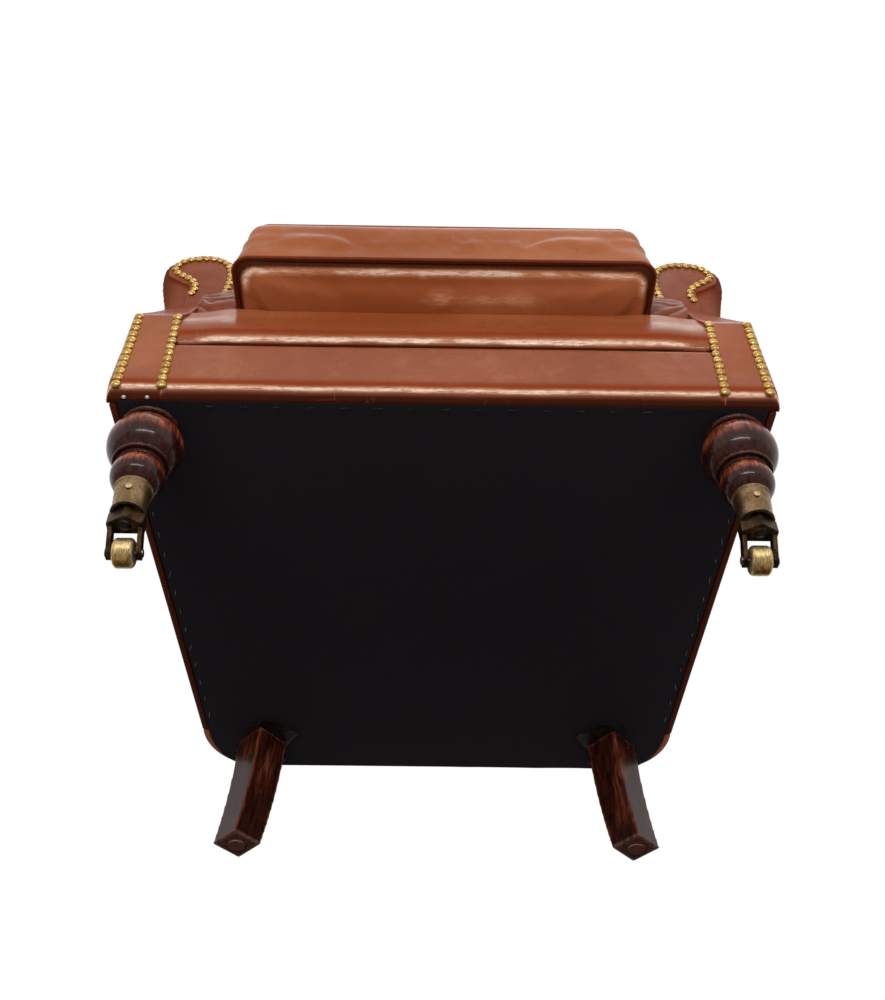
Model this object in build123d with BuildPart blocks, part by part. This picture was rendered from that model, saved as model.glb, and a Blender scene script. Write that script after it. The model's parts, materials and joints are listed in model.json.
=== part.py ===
from build123d import *
import os
from math import cos, pi, sin

# A leather hall porter's chair. A beech frame carries a padded front rail with corner panels,
# scroll arms set back behind a sloping shoulder, tall wings that arch over the sitter as a hood,
# a buttoned inside back and a loose seat cushion that stands proud of the rail. The front legs are
# turned and end in brass socket castors; the rear legs are square, set ridge forward, and splay
# outwards. The underside slopes down to the back, where the legs are shorter.
# Millimetres, +Z up, the front faces -Y, the origin lies on the floor under the middle of the chair.

os.makedirs("parts", exist_ok=True)

# Overall sizes
overall_depth = 804
base_width = 750
rear_width_share = 0.828
base_depth_share = 0.7662
rear_corner_radius = 70
front_clearance = 205
rear_clearance = 165
springing_height = 1130

# Clearance between pieces that lie together, and how far a cutting shape runs past its work
fit = 0.3
overrun = 30

# Front of the base
front_panel_share = 0.513
roll_drop = 3
front_pad_thickness = 17
front_bulge = 4
corner_width = 67.5
corner_height = 153
corner_edge_radius = 6
shoulder_rise_inner = 151
shoulder_rise_outer = 89
shoulder_skin = 14

# Sides and arms
facing_setback = 60
side_lean = 10
side_height = 290
cover_thickness = 9
scroll_radius = 45
scroll_centre_height = 345
scroll_inset = 37.7
roll_proud = 7
rear_roll_radius = 36
facing_thickness = 8
arm_length_share = 0.4378
inner_front_inset = 106
inner_rear_inset = 74.5
arm_pad_skin = 5
deck_height = 395

# Wings, hood and back
wall_frame_thickness = 21
rim_thickness = 8
crown_lean_share = 0.1244
wing_scoop = 24
back_pad_thickness = 64
hood_corner_radius = 55
back_panel_margin = 72
panel_thickness = 8
rail_thickness = 28
deck_rise = 98.5
post_width = 36
frame_border = 45
front_stile_share = 0.23
rear_stile_share = 0.5

# Seat cushion
cushion_overhang = 58
cushion_front_gap = 25
cushion_rear_gap = 14
cushion_height = 93
cushion_crown = 16
cushion_corner_radius = 20
cushion_drawn_in = 4
cushion_narrowing = 4
cushion_back_gap = 12
cushion_edge = 4
piping_radius = 3.5

# Nails
nail_radius = 6
nail_height = 4
nail_pitch = 12.2
nail_margin = 10.8
nail_first = 12.4
nails_per_column = 12
scroll_nail_radius = 5.2
scroll_nail_pitch = 10.5
hood_nail_pitch = 22

# Front legs
leg_inset_x = 47.5
leg_setback = 44
spigot_radius = 25
spigot_height = 6
collar_radius = 33
collar_height = 7
neck_radius = 28
neck_height = 3
bulb_radius = 42
bulb_height = 54
bead_radius = 31.5
bead_height = 4
waist_radius = 24
waist_height = 5
small_bulb_radius = 29
small_bulb_height = 34
dowel_radius = 12.5
dowel_length = 60

# Castors
socket_top_radius = 20
socket_rim_radius = 17.2
socket_height = 38.5
socket_wall = 2
socket_hollow = 9
socket_bead = 1.2
swivel_radius = 4
running_clearance = 0.05
swivel_head_radius = 7
swivel_head_height = 3
socket_gap = 1
horn_height = 15
horn_half_width = 19
horn_nose = 13
horn_shoulder = 2
horn_tail = 12
castor_trail = 22
arm_thickness = 4.6
horn_arm_radius = 7.5
wheel_radius = 16
wheel_width = 22
wheel_side_gap = 2.4
wheel_edge_radius = 5
axle_radius = 2.5
rivet_radius = 4.4
rivet_height = 1.6
socket_screw_radius = 3.2
socket_screw_head = 1.2
socket_screw_length = 9
screw_shank_share = 0.5
socket_screw_share = 0.42

# Rear legs
rear_leg_inset = 77
rear_leg_from_back = 52
rear_leg_side = 47
rear_leg_foot_side = 43
rear_leg_splay = 16
sabre_share = 0.3
plate_width = 52
plate_length = 80
plate_angle = 35
plate_shift = 6.5
plate_thickness = 3
plate_screw_radius = 3.5
plate_screw_margin = 6
plate_screw_length = 18
plate_screw_head = 1
glide_radius = 11
glide_height = 2

# Underside and seat
dust_cover_thickness = 1.5
web_width = 50
web_thickness = 2
web_count = 5
deck_thickness = 38
block_side = 112
block_height = 95

# Arm frame and buttons
arm_post_depth = 34
arm_post_width = 34
arm_rail_height = 24
button_radius = 9
button_thickness = 3
button_row_pitch = 118
button_pitch = 112
button_rows = 5

# Places worked out from the sizes
base_rear_width = base_width * rear_width_share
base_depth = overall_depth * base_depth_share
arm_length = overall_depth * arm_length_share
crown_lean = overall_depth * crown_lean_share
inner_front_half = base_width / 2 - inner_front_inset
inner_rear_half = base_rear_width / 2 - inner_rear_inset
base_front = cushion_overhang - overall_depth / 2
base_rear = base_front + base_depth
back_rake = overall_depth / 2 - base_rear - nail_height
facing_y = base_front + facing_setback
arm_end = facing_y + arm_length
scroll_z = front_clearance + scroll_centre_height
side_top = front_clearance + side_height
rail_top = deck_height - deck_rise
wing_y = arm_end + fit
wing_foot = side_top + fit
hands = ((-1, "left"), (1, "right"))


def half_width(y):
    """Half the width of the base's outline at its foot, at this depth."""
    return base_width / 2 - (base_width - base_rear_width) / 2 * (y - base_front) / base_depth


def lean_at(z):
    """How far the side leans in at this height."""
    return side_lean * (z - front_clearance) / side_height


def outer_half(y):
    """Half the outer width of the arms, wings and hood at this depth."""
    return half_width(y) - side_lean


def inner_half(y):
    """Half the inner width between the arms and the wings at this depth."""
    fall = (inner_front_half - inner_rear_half) / (base_rear - facing_y)
    return inner_front_half - fall * (y - facing_y)


def underside_z(y):
    """Height of the sloping underside at this depth."""
    return front_clearance - (front_clearance - rear_clearance) * (y - base_front) / base_depth


def rear_y(z):
    """Depth of the outside back at this height: upright, swept back, then upright again."""
    rise_share = min(1, max(0, (z - side_top) / (springing_height - side_top)))
    return base_rear + back_rake * rise_share * rise_share * (3 - 2 * rise_share)


crown_y = wing_y + crown_lean
crown_z = springing_height + outer_half(crown_y)
hood_top = springing_height + outer_half(facing_y)


def front_y(z):
    """Depth of the wings' front edge at this height: a shallow scoop, then the lean of the crown."""
    wing_share = min(1, max(0, (z - wing_foot) / (springing_height - wing_foot)))
    crown_share = max(0, (z - springing_height) / (crown_z - springing_height))
    return wing_y + wing_scoop * sin(pi * wing_share) ** 2 + crown_lean * crown_share**2


underside = Plane(
    origin=(0, base_front, front_clearance),
    x_dir=(1, 0, 0),
    z_dir=(0, front_clearance - rear_clearance, base_depth),
)
above_dust_cover = underside.offset(dust_cover_thickness + fit)


def across(y):
    """Drawing plane that faces the front at this depth: x to the right, z up."""
    return Plane(origin=(0, y, 0), x_dir=(1, 0, 0), z_dir=(0, -1, 0))


def along(x):
    """Drawing plane that faces the side at this place: y to the back, z up."""
    return Plane(origin=(x, 0, 0), x_dir=(0, 1, 0), z_dir=(1, 0, 0))


def level(z):
    """Drawing plane that lies flat at this height."""
    return Plane.XY.offset(z)


def keep(builder, name):
    """Labels a finished piece and writes its file."""
    builder.part.label = name
    export_step(builder.part, f"parts/{name}.step")


# Fixings that other pieces are bored for: front leg dowels, castor screws and plate screws

leg_x = half_width(base_front) - leg_inset_x
leg_y = base_front + leg_setback
leg_top = underside_z(leg_y)
rear_leg_y = base_rear - rear_leg_from_back
rear_leg_x = half_width(rear_leg_y) - rear_leg_inset
collar_top = leg_top - spigot_height
neck_top = collar_top - collar_height
bulb_top = neck_top - neck_height
bulb_foot = bulb_top - bulb_height
bead_foot = bulb_foot - bead_height
small_top = bead_foot - waist_height
small_foot = small_top - small_bulb_height
socket_top = small_foot + fit
socket_rim = socket_top - socket_height
web_top = socket_rim + socket_hollow + socket_wall
screw_z = socket_top - socket_height * socket_screw_share


def socket_radius(z):
    """Outer radius of the castor's socket at this height."""
    rise_share = (z - socket_rim) / socket_height
    return socket_rim_radius + (socket_top_radius - socket_rim_radius) * rise_share


def plate_plane(side):
    """Plane of a rear leg's plate, flat against the sloping underside."""
    return Plane(
        origin=(side * (rear_leg_x - plate_shift), rear_leg_y, underside_z(rear_leg_y) - fit),
        x_dir=(1, 0, 0),
        z_dir=underside.z_dir,
    )


def plate_screw_spots(side):
    """Places of the four screws in a rear leg's plate, one in each corner."""
    across_plate = plate_width - 2 * plate_screw_margin
    along_plate = plate_length - 2 * plate_screw_margin
    turned = Locations(Rotation(0, 0, -side * plate_angle))
    return turned, GridLocations(across_plate, along_plate, 2, 2)


with BuildPart(mode=Mode.PRIVATE) as plate_screw_bores:
    for side, hand in hands:
        with BuildSketch(plate_plane(side).offset(-plate_thickness - fit)):
            turned, corners = plate_screw_spots(side)
            with turned, corners:
                Circle(plate_screw_radius * screw_shank_share + fit)
        extrude(amount=plate_screw_length + 2 * fit)

# Beech frame of the seat

front_rail_y = base_front + front_pad_thickness + fit
front_half = half_width(base_front) - corner_width - fit
side_rail_start = front_rail_y + rail_thickness + leg_setback - fit
back_rail_y = base_rear - cover_thickness - rail_thickness - fit
side_rail_end = base_rear - cover_thickness - block_side - fit
back_rail_half = outer_half(side_rail_end) - cover_thickness - block_side


def frame_half(y):
    """Half the width over the frame, inside the leaning side cover."""
    return outer_half(y) - cover_thickness - fit


for name, y, half, top in (
    ("front_rail", front_rail_y, front_half, rail_top + deck_thickness),
    ("back_rail", back_rail_y, back_rail_half, rail_top),
):
    with BuildPart() as cross_rail:
        with BuildSketch(along(-half)):
            with BuildLine():
                Polyline(
                    (y, rear_clearance - overrun),
                    (y + rail_thickness, rear_clearance - overrun),
                    (y + rail_thickness, top),
                    (y, top),
                    close=True,
                )
            make_face()
        extrude(amount=2 * half)
        split(bisect_by=above_dust_cover, keep=Keep.TOP)
    keep(cross_rail, name)

for side, hand in hands:
    with BuildPart() as side_rail:
        with BuildSketch(level(rear_clearance)):
            with BuildLine():
                Polyline(
                    (side * frame_half(side_rail_start), side_rail_start),
                    (side * frame_half(side_rail_end), side_rail_end),
                    (side * (frame_half(side_rail_end) - rail_thickness), side_rail_end),
                    (side * (frame_half(side_rail_start) - rail_thickness), side_rail_start),
                    close=True,
                )
            make_face()
        extrude(amount=rail_top - rear_clearance)
        split(bisect_by=above_dust_cover, keep=Keep.TOP)
    keep(side_rail, f"side_rail_{hand}")

# Corner blocks take the legs. The front ones are bored for the dowels, the rear ones are rounded

block_front_end = side_rail_start - fit
block_rear_start = side_rail_end + fit
block_rear_end = base_rear - cover_thickness - 2 * fit
rear_block_x = back_rail_half + fit

with BuildPart() as corner_blocks:
    for side, hand in hands:
        with BuildSketch(level(rear_clearance)):
            with BuildLine():
                Polyline(
                    (side * (front_half + fit), front_rail_y),
                    (side * frame_half(front_rail_y), front_rail_y),
                    (side * frame_half(block_front_end), block_front_end),
                    (side * (front_half + fit), block_front_end),
                    close=True,
                )
            make_face()
        extrude(amount=front_clearance + block_height - rear_clearance)
        with BuildSketch(level(rear_clearance - overrun)) as rear_block:
            with BuildLine():
                Polyline(
                    (side * rear_block_x, block_rear_start),
                    (side * frame_half(block_rear_start), block_rear_start),
                    (side * frame_half(block_rear_end), block_rear_end),
                    (side * rear_block_x, block_rear_end),
                    close=True,
                )
            make_face()
            corner = rear_block.vertices().sort_by(Axis.Y)[-2:].sort_by(Axis.X)
            fillet(corner[-1 if side > 0 else 0], radius=rear_corner_radius - cover_thickness - fit)
        extrude(amount=rail_top - rear_clearance + overrun)
    split(bisect_by=above_dust_cover, keep=Keep.TOP)
    for side, hand in hands:
        with BuildSketch(level(leg_top - overrun)):
            with Locations((side * leg_x, leg_y)):
                Circle(dowel_radius + fit)
        extrude(amount=overrun + dowel_length + fit, mode=Mode.SUBTRACT)
    add(plate_screw_bores.part, mode=Mode.SUBTRACT)
keep(corner_blocks, "corner_blocks")

# Webbing across the side rails, and the stuffed deck that lies on it

web_z = rail_top + fit
deck_front = base_front + front_pad_thickness + rail_thickness + 2 * fit
deck_back = base_rear - cover_thickness - rail_thickness - back_pad_thickness - 4 * fit
web_start = side_rail_start + arm_post_depth + fit
web_pitch = (deck_back - web_start) / web_count

with BuildPart() as seat_webbing:
    for place in range(web_count):
        web_y = web_start + web_pitch * (place + 0.5)
        with BuildSketch(level(web_z)):
            with Locations((0, web_y)):
                Rectangle(2 * (frame_half(web_y) - rail_thickness / 2), web_width)
        extrude(amount=web_thickness)
keep(seat_webbing, "seat_webbing")

with BuildPart() as seat_deck:
    with BuildSketch(level(web_z + web_thickness + fit)):
        with BuildLine():
            Polyline(
                (inner_half(facing_y) - fit, deck_front),
                (inner_half(deck_back) - fit, deck_back),
                (-inner_half(deck_back) + fit, deck_back),
                (-inner_half(facing_y) + fit, deck_front),
                close=True,
            )
        make_face()
    extrude(amount=deck_height - web_z - web_thickness - 2 * fit)
keep(seat_deck, "seat_deck")

# Padded front: a flat lower panel and a full roll above it, folded between the corner panels

roll_top = deck_height - roll_drop
front_panel_height = (roll_top - front_clearance) * front_panel_share
fold_z = front_clearance + front_panel_height
front_roll_height = roll_top - fold_z
roll_back = front_rail_y + rail_thickness

with BuildPart() as front_panel:
    with BuildSketch(along(-front_half)):
        with BuildLine():
            lower = Line((front_rail_y - fit, front_clearance), (base_front + front_bulge, front_clearance))
            face = ThreePointArc(
                lower @ 1,
                (base_front, front_clearance + front_panel_height / 2),
                (base_front + front_bulge, fold_z),
            )
            upper = Line(face @ 1, (front_rail_y - fit, fold_z))
            Line(upper @ 1, lower @ 0)
        make_face()
    extrude(amount=2 * front_half)
keep(front_panel, "front_panel")

with BuildPart() as front_roll:
    with BuildSketch(along(-front_half)):
        with BuildLine():
            under = Line((front_rail_y - fit, fold_z + fit), (base_front + front_bulge, fold_z + fit))
            nose = Spline(
                under @ 1,
                (base_front - front_bulge, fold_z + front_roll_height * 0.4),
                (base_front + front_roll_height * 0.12, fold_z + front_roll_height * 0.82),
                (base_front + front_roll_height * 0.42, roll_top),
                tangents=((-1, 1), (1, 0)),
            )
            Polyline(
                nose @ 1,
                (roll_back, roll_top),
                (roll_back, rail_top + deck_thickness + fit),
                (front_rail_y - fit, rail_top + deck_thickness + fit),
                under @ 0,
            )
        make_face()
    extrude(amount=2 * front_half)
keep(front_roll, "front_roll")

# Corner panels: they lean in with the side and slope back over a shoulder to the arm facing

shoulder_z = front_clearance + corner_height
facing_foot = shoulder_z


def shoulder_section(x, rise):
    """Section through the corner panel: the front skin and the skin of the shoulder."""
    with BuildSketch(along(x)) as section:
        with BuildLine():
            Polyline(
                (base_front, front_clearance),
                (base_front, shoulder_z),
                (facing_y - fit, shoulder_z + rise),
                (facing_y - fit, shoulder_z + rise - 2 * shoulder_skin),
                (base_front + front_pad_thickness, shoulder_z - shoulder_skin / 2),
                (base_front + front_pad_thickness, front_clearance),
                close=True,
            )
        make_face()
    return section.sketch


for side, hand in hands:
    sections = [
        shoulder_section(side * (front_half + fit), shoulder_rise_inner),
        shoulder_section(side * half_width(base_front), shoulder_rise_outer),
    ]
    with BuildPart() as corner_panel:
        loft(sections, ruled=True)
        with BuildSketch(across(base_front - overrun)):
            with BuildLine():
                Polyline(
                    (side * (front_half + fit), front_clearance),
                    (side * (half_width(base_front) - lean_at(front_clearance)), front_clearance),
                    (side * (half_width(base_front) - lean_at(side_top)), side_top),
                    (side * (front_half + fit), side_top),
                    close=True,
                )
            make_face()
        extrude(amount=-facing_setback - overrun, mode=Mode.INTERSECT)
        front_edges = corner_panel.edges().filter_by_position(Axis.Y, base_front - fit, base_front + fit)
        outer_edge = front_edges.sort_by(Axis.X)[-1 if side > 0 else 0]
        fillet(outer_edge, radius=corner_edge_radius)
    keep(corner_panel, f"corner_panel_{hand}")

# Outside arms, and the skirt that turns the rear corners below the wings

panel_start = base_front + front_pad_thickness + fit
panel_end = base_rear - rear_corner_radius - 4 * fit
shoulder_gap = 2 * shoulder_skin + fit

for side, hand in hands:
    with BuildPart() as outside_arm:
        for z in (rear_clearance - overrun, side_top):
            with BuildSketch(level(z)):
                with BuildLine():
                    Polyline(
                        (side * (half_width(panel_start) - lean_at(z)), panel_start),
                        (side * (half_width(panel_end) - lean_at(z)), panel_end),
                        (side * (half_width(panel_end) - lean_at(z) - cover_thickness), panel_end),
                        (side * (half_width(panel_start) - lean_at(z) - cover_thickness), panel_start),
                        close=True,
                    )
                make_face()
        loft(ruled=True)
        split(bisect_by=underside, keep=Keep.TOP)
        with BuildSketch(along(-base_width)):
            with BuildLine():
                Polyline(
                    (panel_start, shoulder_z - shoulder_skin / 2 - fit),
                    (facing_y, shoulder_z + shoulder_rise_outer - shoulder_gap),
                    (facing_y, side_top + overrun),
                    (panel_start - overrun, side_top + overrun),
                    (panel_start - overrun, shoulder_z - shoulder_skin / 2 - fit),
                    close=True,
                )
            make_face()
        extrude(amount=2 * base_width, mode=Mode.SUBTRACT)
    keep(outside_arm, f"outside_arm_{hand}")


def skirt_outline(z, inset):
    """Plan of the rounded rear of the base at this height, drawn in by this much."""
    start = panel_end + fit
    end = base_rear - inset
    with BuildSketch(level(z)) as outline:
        with BuildLine():
            Polyline(
                (half_width(start) - lean_at(z) - inset, start),
                (half_width(base_rear) - lean_at(z) - inset, end),
                (-half_width(base_rear) + lean_at(z) + inset, end),
                (-half_width(start) + lean_at(z) + inset, start),
                close=True,
            )
        make_face()
        fillet(outline.vertices().sort_by(Axis.Y)[-2:], radius=rear_corner_radius - inset)
    return outline.sketch


with BuildPart() as back_skirt:
    loft([skirt_outline(rear_clearance - overrun, 0), skirt_outline(side_top, 0)], ruled=True)
    loft(
        [
            skirt_outline(rear_clearance - overrun, cover_thickness),
            skirt_outline(side_top, cover_thickness),
        ],
        ruled=True,
        mode=Mode.SUBTRACT,
    )
    split(bisect_by=underside, keep=Keep.TOP)
keep(back_skirt, "back_skirt")

# Arm frames: a short post behind the facing, with a rail that runs back inside the roll

arm_post_y = facing_y + facing_thickness + arm_pad_skin + 2 * fit
arm_post_x = frame_half(arm_post_y + arm_post_depth) - arm_post_width - fit
arm_rail_x = outer_half(arm_end) - cover_thickness - arm_post_width - 2 * fit

with BuildPart(mode=Mode.PRIVATE) as arm_frame_shape:
    with BuildSketch(level(front_clearance + block_height + fit)):
        with Locations((arm_post_x + arm_post_width / 2, arm_post_y + arm_post_depth / 2)):
            Rectangle(arm_post_width, arm_post_depth)
    extrude(amount=scroll_z - front_clearance - block_height - fit)
    with BuildSketch(level(scroll_z - arm_rail_height)):
        with BuildLine():
            Polyline(
                (arm_post_x, arm_post_y),
                (arm_post_x + arm_post_width, arm_post_y),
                (arm_rail_x + arm_post_width, arm_end - 2 * fit),
                (arm_rail_x, arm_end - 2 * fit),
                close=True,
            )
        make_face()
    extrude(amount=arm_rail_height)

# Scroll arms. One outline serves the facing and the roll: it is drawn about the scroll's centre,
# in shares of the scroll's radius

hip_shares = ((0.97, -0.1), (0.72, -0.34), (0.4, -0.58), (0.27, -0.95))


def scroll_outline(y, centre_x, centre_z, radius, foot_z, foot_x):
    """Face of the right arm's scroll at this depth."""
    def spot(share_x, share_z):
        return (centre_x + share_x * radius, centre_z + share_z * radius)

    with BuildSketch(across(y)) as outline:
        with BuildLine():
            head = ThreePointArc(spot(-1, 0), spot(-0.28, 0.96), spot(1, 0.16))
            hip = Spline(head @ 1, *[spot(*place) for place in hip_shares], tangents=((0, -1), (0, -1)))
            Polyline(
                hip @ 1,
                (foot_x, foot_z),
                (centre_x - radius, foot_z),
                head @ 0,
            )
        make_face()
    return outline.sketch


def arm_side(y):
    """Face of the right arm's body below the roll at this depth."""
    with BuildSketch(across(y)) as outline:
        with BuildLine():
            Polyline(
                (inner_half(y), pad_foot),
                (frame_half(y), pad_foot),
                (frame_half(y), side_top + fit),
                (inner_half(y), side_top + fit),
                close=True,
            )
        make_face()
    return outline.sketch


scroll_x = outer_half(facing_y) - scroll_inset
facing_foot_x = scroll_x + scroll_radius * 0.3
rear_roll_x = inner_half(arm_end) + rear_roll_radius + roll_proud
rear_roll_z = scroll_z + scroll_radius - rear_roll_radius
pad_foot = deck_height - deck_thickness / 2
pad_front = facing_y + facing_thickness + fit

with BuildPart(mode=Mode.PRIVATE) as facing_shape:
    facing = scroll_outline(facing_y, scroll_x, scroll_z, scroll_radius, facing_foot, facing_foot_x)
    extrude(facing, amount=facing_thickness, dir=(0, 1, 0))

with BuildPart(mode=Mode.PRIVATE) as arm_pad_shape:
    front_radius = scroll_radius + roll_proud
    rear_radius = rear_roll_radius + roll_proud
    loft(
        [
            scroll_outline(pad_front, scroll_x, scroll_z, front_radius, side_top, frame_half(pad_front)),
            scroll_outline(arm_end, rear_roll_x, rear_roll_z, rear_radius, side_top, frame_half(arm_end)),
        ],
        ruled=True,
    )
    loft([arm_side(pad_front), arm_side(arm_end)], ruled=True)
    with BuildSketch(level(pad_foot - overrun)):
        with Locations((arm_post_x + arm_post_width / 2, arm_post_y + arm_post_depth / 2)):
            Rectangle(arm_post_width + 2 * fit, arm_post_depth + 2 * fit)
    extrude(amount=scroll_z - pad_foot + overrun + fit, mode=Mode.SUBTRACT)
    with BuildSketch(level(scroll_z - arm_rail_height - fit)):
        with BuildLine():
            Polyline(
                (arm_post_x - fit, arm_post_y),
                (arm_post_x + arm_post_width + fit, arm_post_y),
                (arm_rail_x + arm_post_width + fit, arm_end - fit),
                (arm_rail_x - fit, arm_end - fit),
                close=True,
            )
        make_face()
    extrude(amount=arm_rail_height + 2 * fit, mode=Mode.SUBTRACT)

for name, shape in (
    ("arm_frame", arm_frame_shape),
    ("arm_facing", facing_shape),
    ("arm_pad", arm_pad_shape),
):
    with BuildPart() as right_arm_piece:
        add(shape.part)
    keep(right_arm_piece, f"{name}_right")
    with BuildPart() as left_arm_piece:
        add(shape.part)
        mirror(about=Plane.YZ, mode=Mode.REPLACE)
    keep(left_arm_piece, f"{name}_left")

# Wings and hood. The wall is an arch lofted along the chair, cut to its outline from the side

wall_front = facing_y
wall_rear = overall_depth


def arch_section(y, half):
    """Face under a round arch of this half width at this depth."""
    with BuildSketch(across(y)) as section:
        with BuildLine():
            left = Line((-half, rear_clearance), (-half, springing_height))
            over = ThreePointArc(left @ 1, (0, springing_height + half), (half, springing_height))
            right = Line(over @ 1, (half, rear_clearance))
            Line(right @ 1, left @ 0)
        make_face()
    return section.sketch


def outer_arch(inset):
    """Sections of the solid under the arch, this far inside its outer face."""
    return [arch_section(y, outer_half(y) - inset) for y in (wall_front, wall_rear)]


def inner_arch(inset):
    """Sections of the hollow under the arch, drawn in by this much."""
    return [arch_section(y, inner_half(y) - inset) for y in (wall_front, wall_rear)]


def wall_side(front_shift, rear_shift, foot):
    """The wall from the side, its front edge and its back moved in by these amounts."""
    top = hood_top + overrun
    steps = 12
    heights = [foot + (top - foot) * step / steps for step in range(steps + 1)]
    with BuildSketch(along(-base_width)) as outline:
        with BuildLine():
            edge = Spline(*[(front_y(z) + front_shift, z) for z in heights])
            over = Line(edge @ 1, (rear_y(top) - rear_shift, top))
            back = Spline(*[(rear_y(z) - rear_shift, z) for z in reversed(heights)])
            Line(back @ 1, edge @ 0)
        make_face()
    return outline.sketch


def rear_face_edges(builder):
    """Edges along the sides and the top of the hindmost face."""
    hindmost = builder.faces().sort_by(Axis.Y)[-1]
    return hindmost.edges().filter_by(lambda edge: edge.center().Z > side_top + overrun)


across_chair = (1, 0, 0)

with BuildPart(mode=Mode.PRIVATE) as wall_outside:
    loft(outer_arch(0), ruled=True)
    outline = wall_side(rim_thickness + fit, 0, wing_foot)
    extrude(outline, amount=2 * base_width, dir=across_chair, mode=Mode.INTERSECT)
    fillet(rear_face_edges(wall_outside), radius=hood_corner_radius)

with BuildPart(mode=Mode.PRIVATE) as wall_inside:
    loft(outer_arch(cover_thickness), ruled=True)
    outline = wall_side(0, cover_thickness, wing_foot - overrun)
    extrude(outline, amount=2 * base_width, dir=across_chair, mode=Mode.INTERSECT)
    fillet(rear_face_edges(wall_inside), radius=hood_corner_radius - cover_thickness)

opening_half = outer_half(overall_depth / 2) - back_panel_margin

with BuildPart() as outside_cover:
    add(wall_outside.part)
    add(wall_inside.part, mode=Mode.SUBTRACT)
    extrude(arch_section(crown_y, opening_half), amount=overall_depth, dir=(0, 1, 0), mode=Mode.SUBTRACT)

with BuildPart() as hood_cover:
    add(outside_cover.part)
    split(bisect_by=level(springing_height), keep=Keep.TOP)
keep(hood_cover, "hood_cover")


def wall_shell(outer, inner, front_shift, rear_shift, foot):
    """A layer of the wall between two nested arches, cut to the outline from the side."""
    with BuildPart(mode=Mode.PRIVATE) as shell:
        loft(outer, ruled=True)
        loft(inner, ruled=True, mode=Mode.SUBTRACT)
        side_view = wall_side(front_shift, rear_shift, foot)
        extrude(side_view, amount=2 * base_width, dir=across_chair, mode=Mode.INTERSECT)
    return shell.part


frame_depth = cover_thickness + fit
lining_depth = frame_depth + wall_frame_thickness + fit
lining_rear = cover_thickness + rail_thickness + 2 * fit
border_shell = wall_shell(outer_arch(0), inner_arch(0), 0, 0, wing_foot)
lining_shell = wall_shell(
    outer_arch(lining_depth),
    inner_arch(0),
    rim_thickness + fit,
    lining_rear,
    pad_foot,
)
board_shell = wall_shell(
    outer_arch(frame_depth),
    outer_arch(lining_depth - fit),
    rim_thickness + fit,
    rear_corner_radius,
    web_z + web_thickness + fit,
)

# The padded border round the front edge is what the outline leaves in front of the other layers

with BuildPart() as hood_border:
    add(border_shell)
    behind_border = wall_side(rim_thickness, -overrun, wing_foot - overrun)
    extrude(behind_border, amount=2 * base_width, dir=across_chair, mode=Mode.SUBTRACT)
keep(hood_border, "hood_border")

with BuildPart() as hood_lining:
    add(lining_shell)
    split(bisect_by=level(springing_height), keep=Keep.TOP)
keep(hood_lining, "hood_lining")


def in_wall(z, depth_share):
    """Depth of a place this share of the way from the wall's front edge to its back."""
    return front_y(z) + (rear_y(z) - front_y(z)) * depth_share


def window(foot, top):
    """Opening in a board layer, seen from the side, between its front and rear stiles."""
    steps = 6
    heights = [foot + (top - foot) * step / steps for step in range(steps + 1)]
    with BuildSketch(along(-base_width)) as opening:
        with BuildLine():
            edge = Spline(*[(in_wall(z, front_stile_share), z) for z in heights])
            back = Spline(*[(in_wall(z, 1 - rear_stile_share), z) for z in reversed(heights)])
            Line(edge @ 1, back @ 0)
            Line(back @ 1, edge @ 0)
        make_face()
    return opening.sketch


with BuildPart() as wing_boards:
    add(board_shell)
    below = window(side_top + frame_border, springing_height - frame_border)
    extrude(below, amount=2 * base_width, dir=across_chair, mode=Mode.SUBTRACT)
    split(bisect_by=level(springing_height - fit), keep=Keep.BOTTOM)
    with BuildSketch(level(rail_top)):
        with Locations((0, wing_y)):
            Rectangle(base_width, 2 * rim_thickness)
    extrude(amount=wing_foot - rail_top, mode=Mode.SUBTRACT)

with BuildPart() as hood_bows:
    add(board_shell)
    above = window(springing_height - overrun, hood_top + overrun)
    extrude(above, amount=2 * base_width, dir=across_chair, mode=Mode.SUBTRACT)
    split(bisect_by=level(springing_height), keep=Keep.TOP)
keep(hood_bows, "hood_bows")

for side, hand in hands:
    with BuildPart() as outside_wing:
        add(outside_cover.part)
        split(bisect_by=level(springing_height - fit), keep=Keep.BOTTOM)
        split(bisect_by=Plane.YZ, keep=Keep.TOP if side > 0 else Keep.BOTTOM)
    keep(outside_wing, f"outside_wing_{hand}")
    with BuildPart() as wing_lining:
        add(lining_shell)
        split(bisect_by=level(springing_height - fit), keep=Keep.BOTTOM)
        split(bisect_by=Plane.YZ, keep=Keep.TOP if side > 0 else Keep.BOTTOM)
    keep(wing_lining, f"wing_lining_{hand}")
    with BuildPart() as wing_frame:
        add(wing_boards.part)
        split(bisect_by=Plane.YZ, keep=Keep.TOP if side > 0 else Keep.BOTTOM)
    keep(wing_frame, f"wing_frame_{hand}")

# Back: raked posts with cross rails, the outside panel in the cover's opening, the inside pad

post_rear = cover_thickness + fit
post_outer = opening_half - fit


def back_side(front_shift, rear_shift):
    """The back from the side, between two depths measured in from its outside face."""
    steps = 20
    heights = [rail_top + (hood_top + overrun - rail_top) * step / steps for step in range(steps + 1)]
    with BuildSketch(along(-base_width / 2)) as outline:
        with BuildLine():
            edge = Spline(*[(rear_y(z) - front_shift, z) for z in heights])
            back = Spline(*[(rear_y(z) - rear_shift, z) for z in reversed(heights)])
            Line(edge @ 1, back @ 0)
            Line(back @ 1, edge @ 0)
        make_face()
    return outline.sketch


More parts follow.
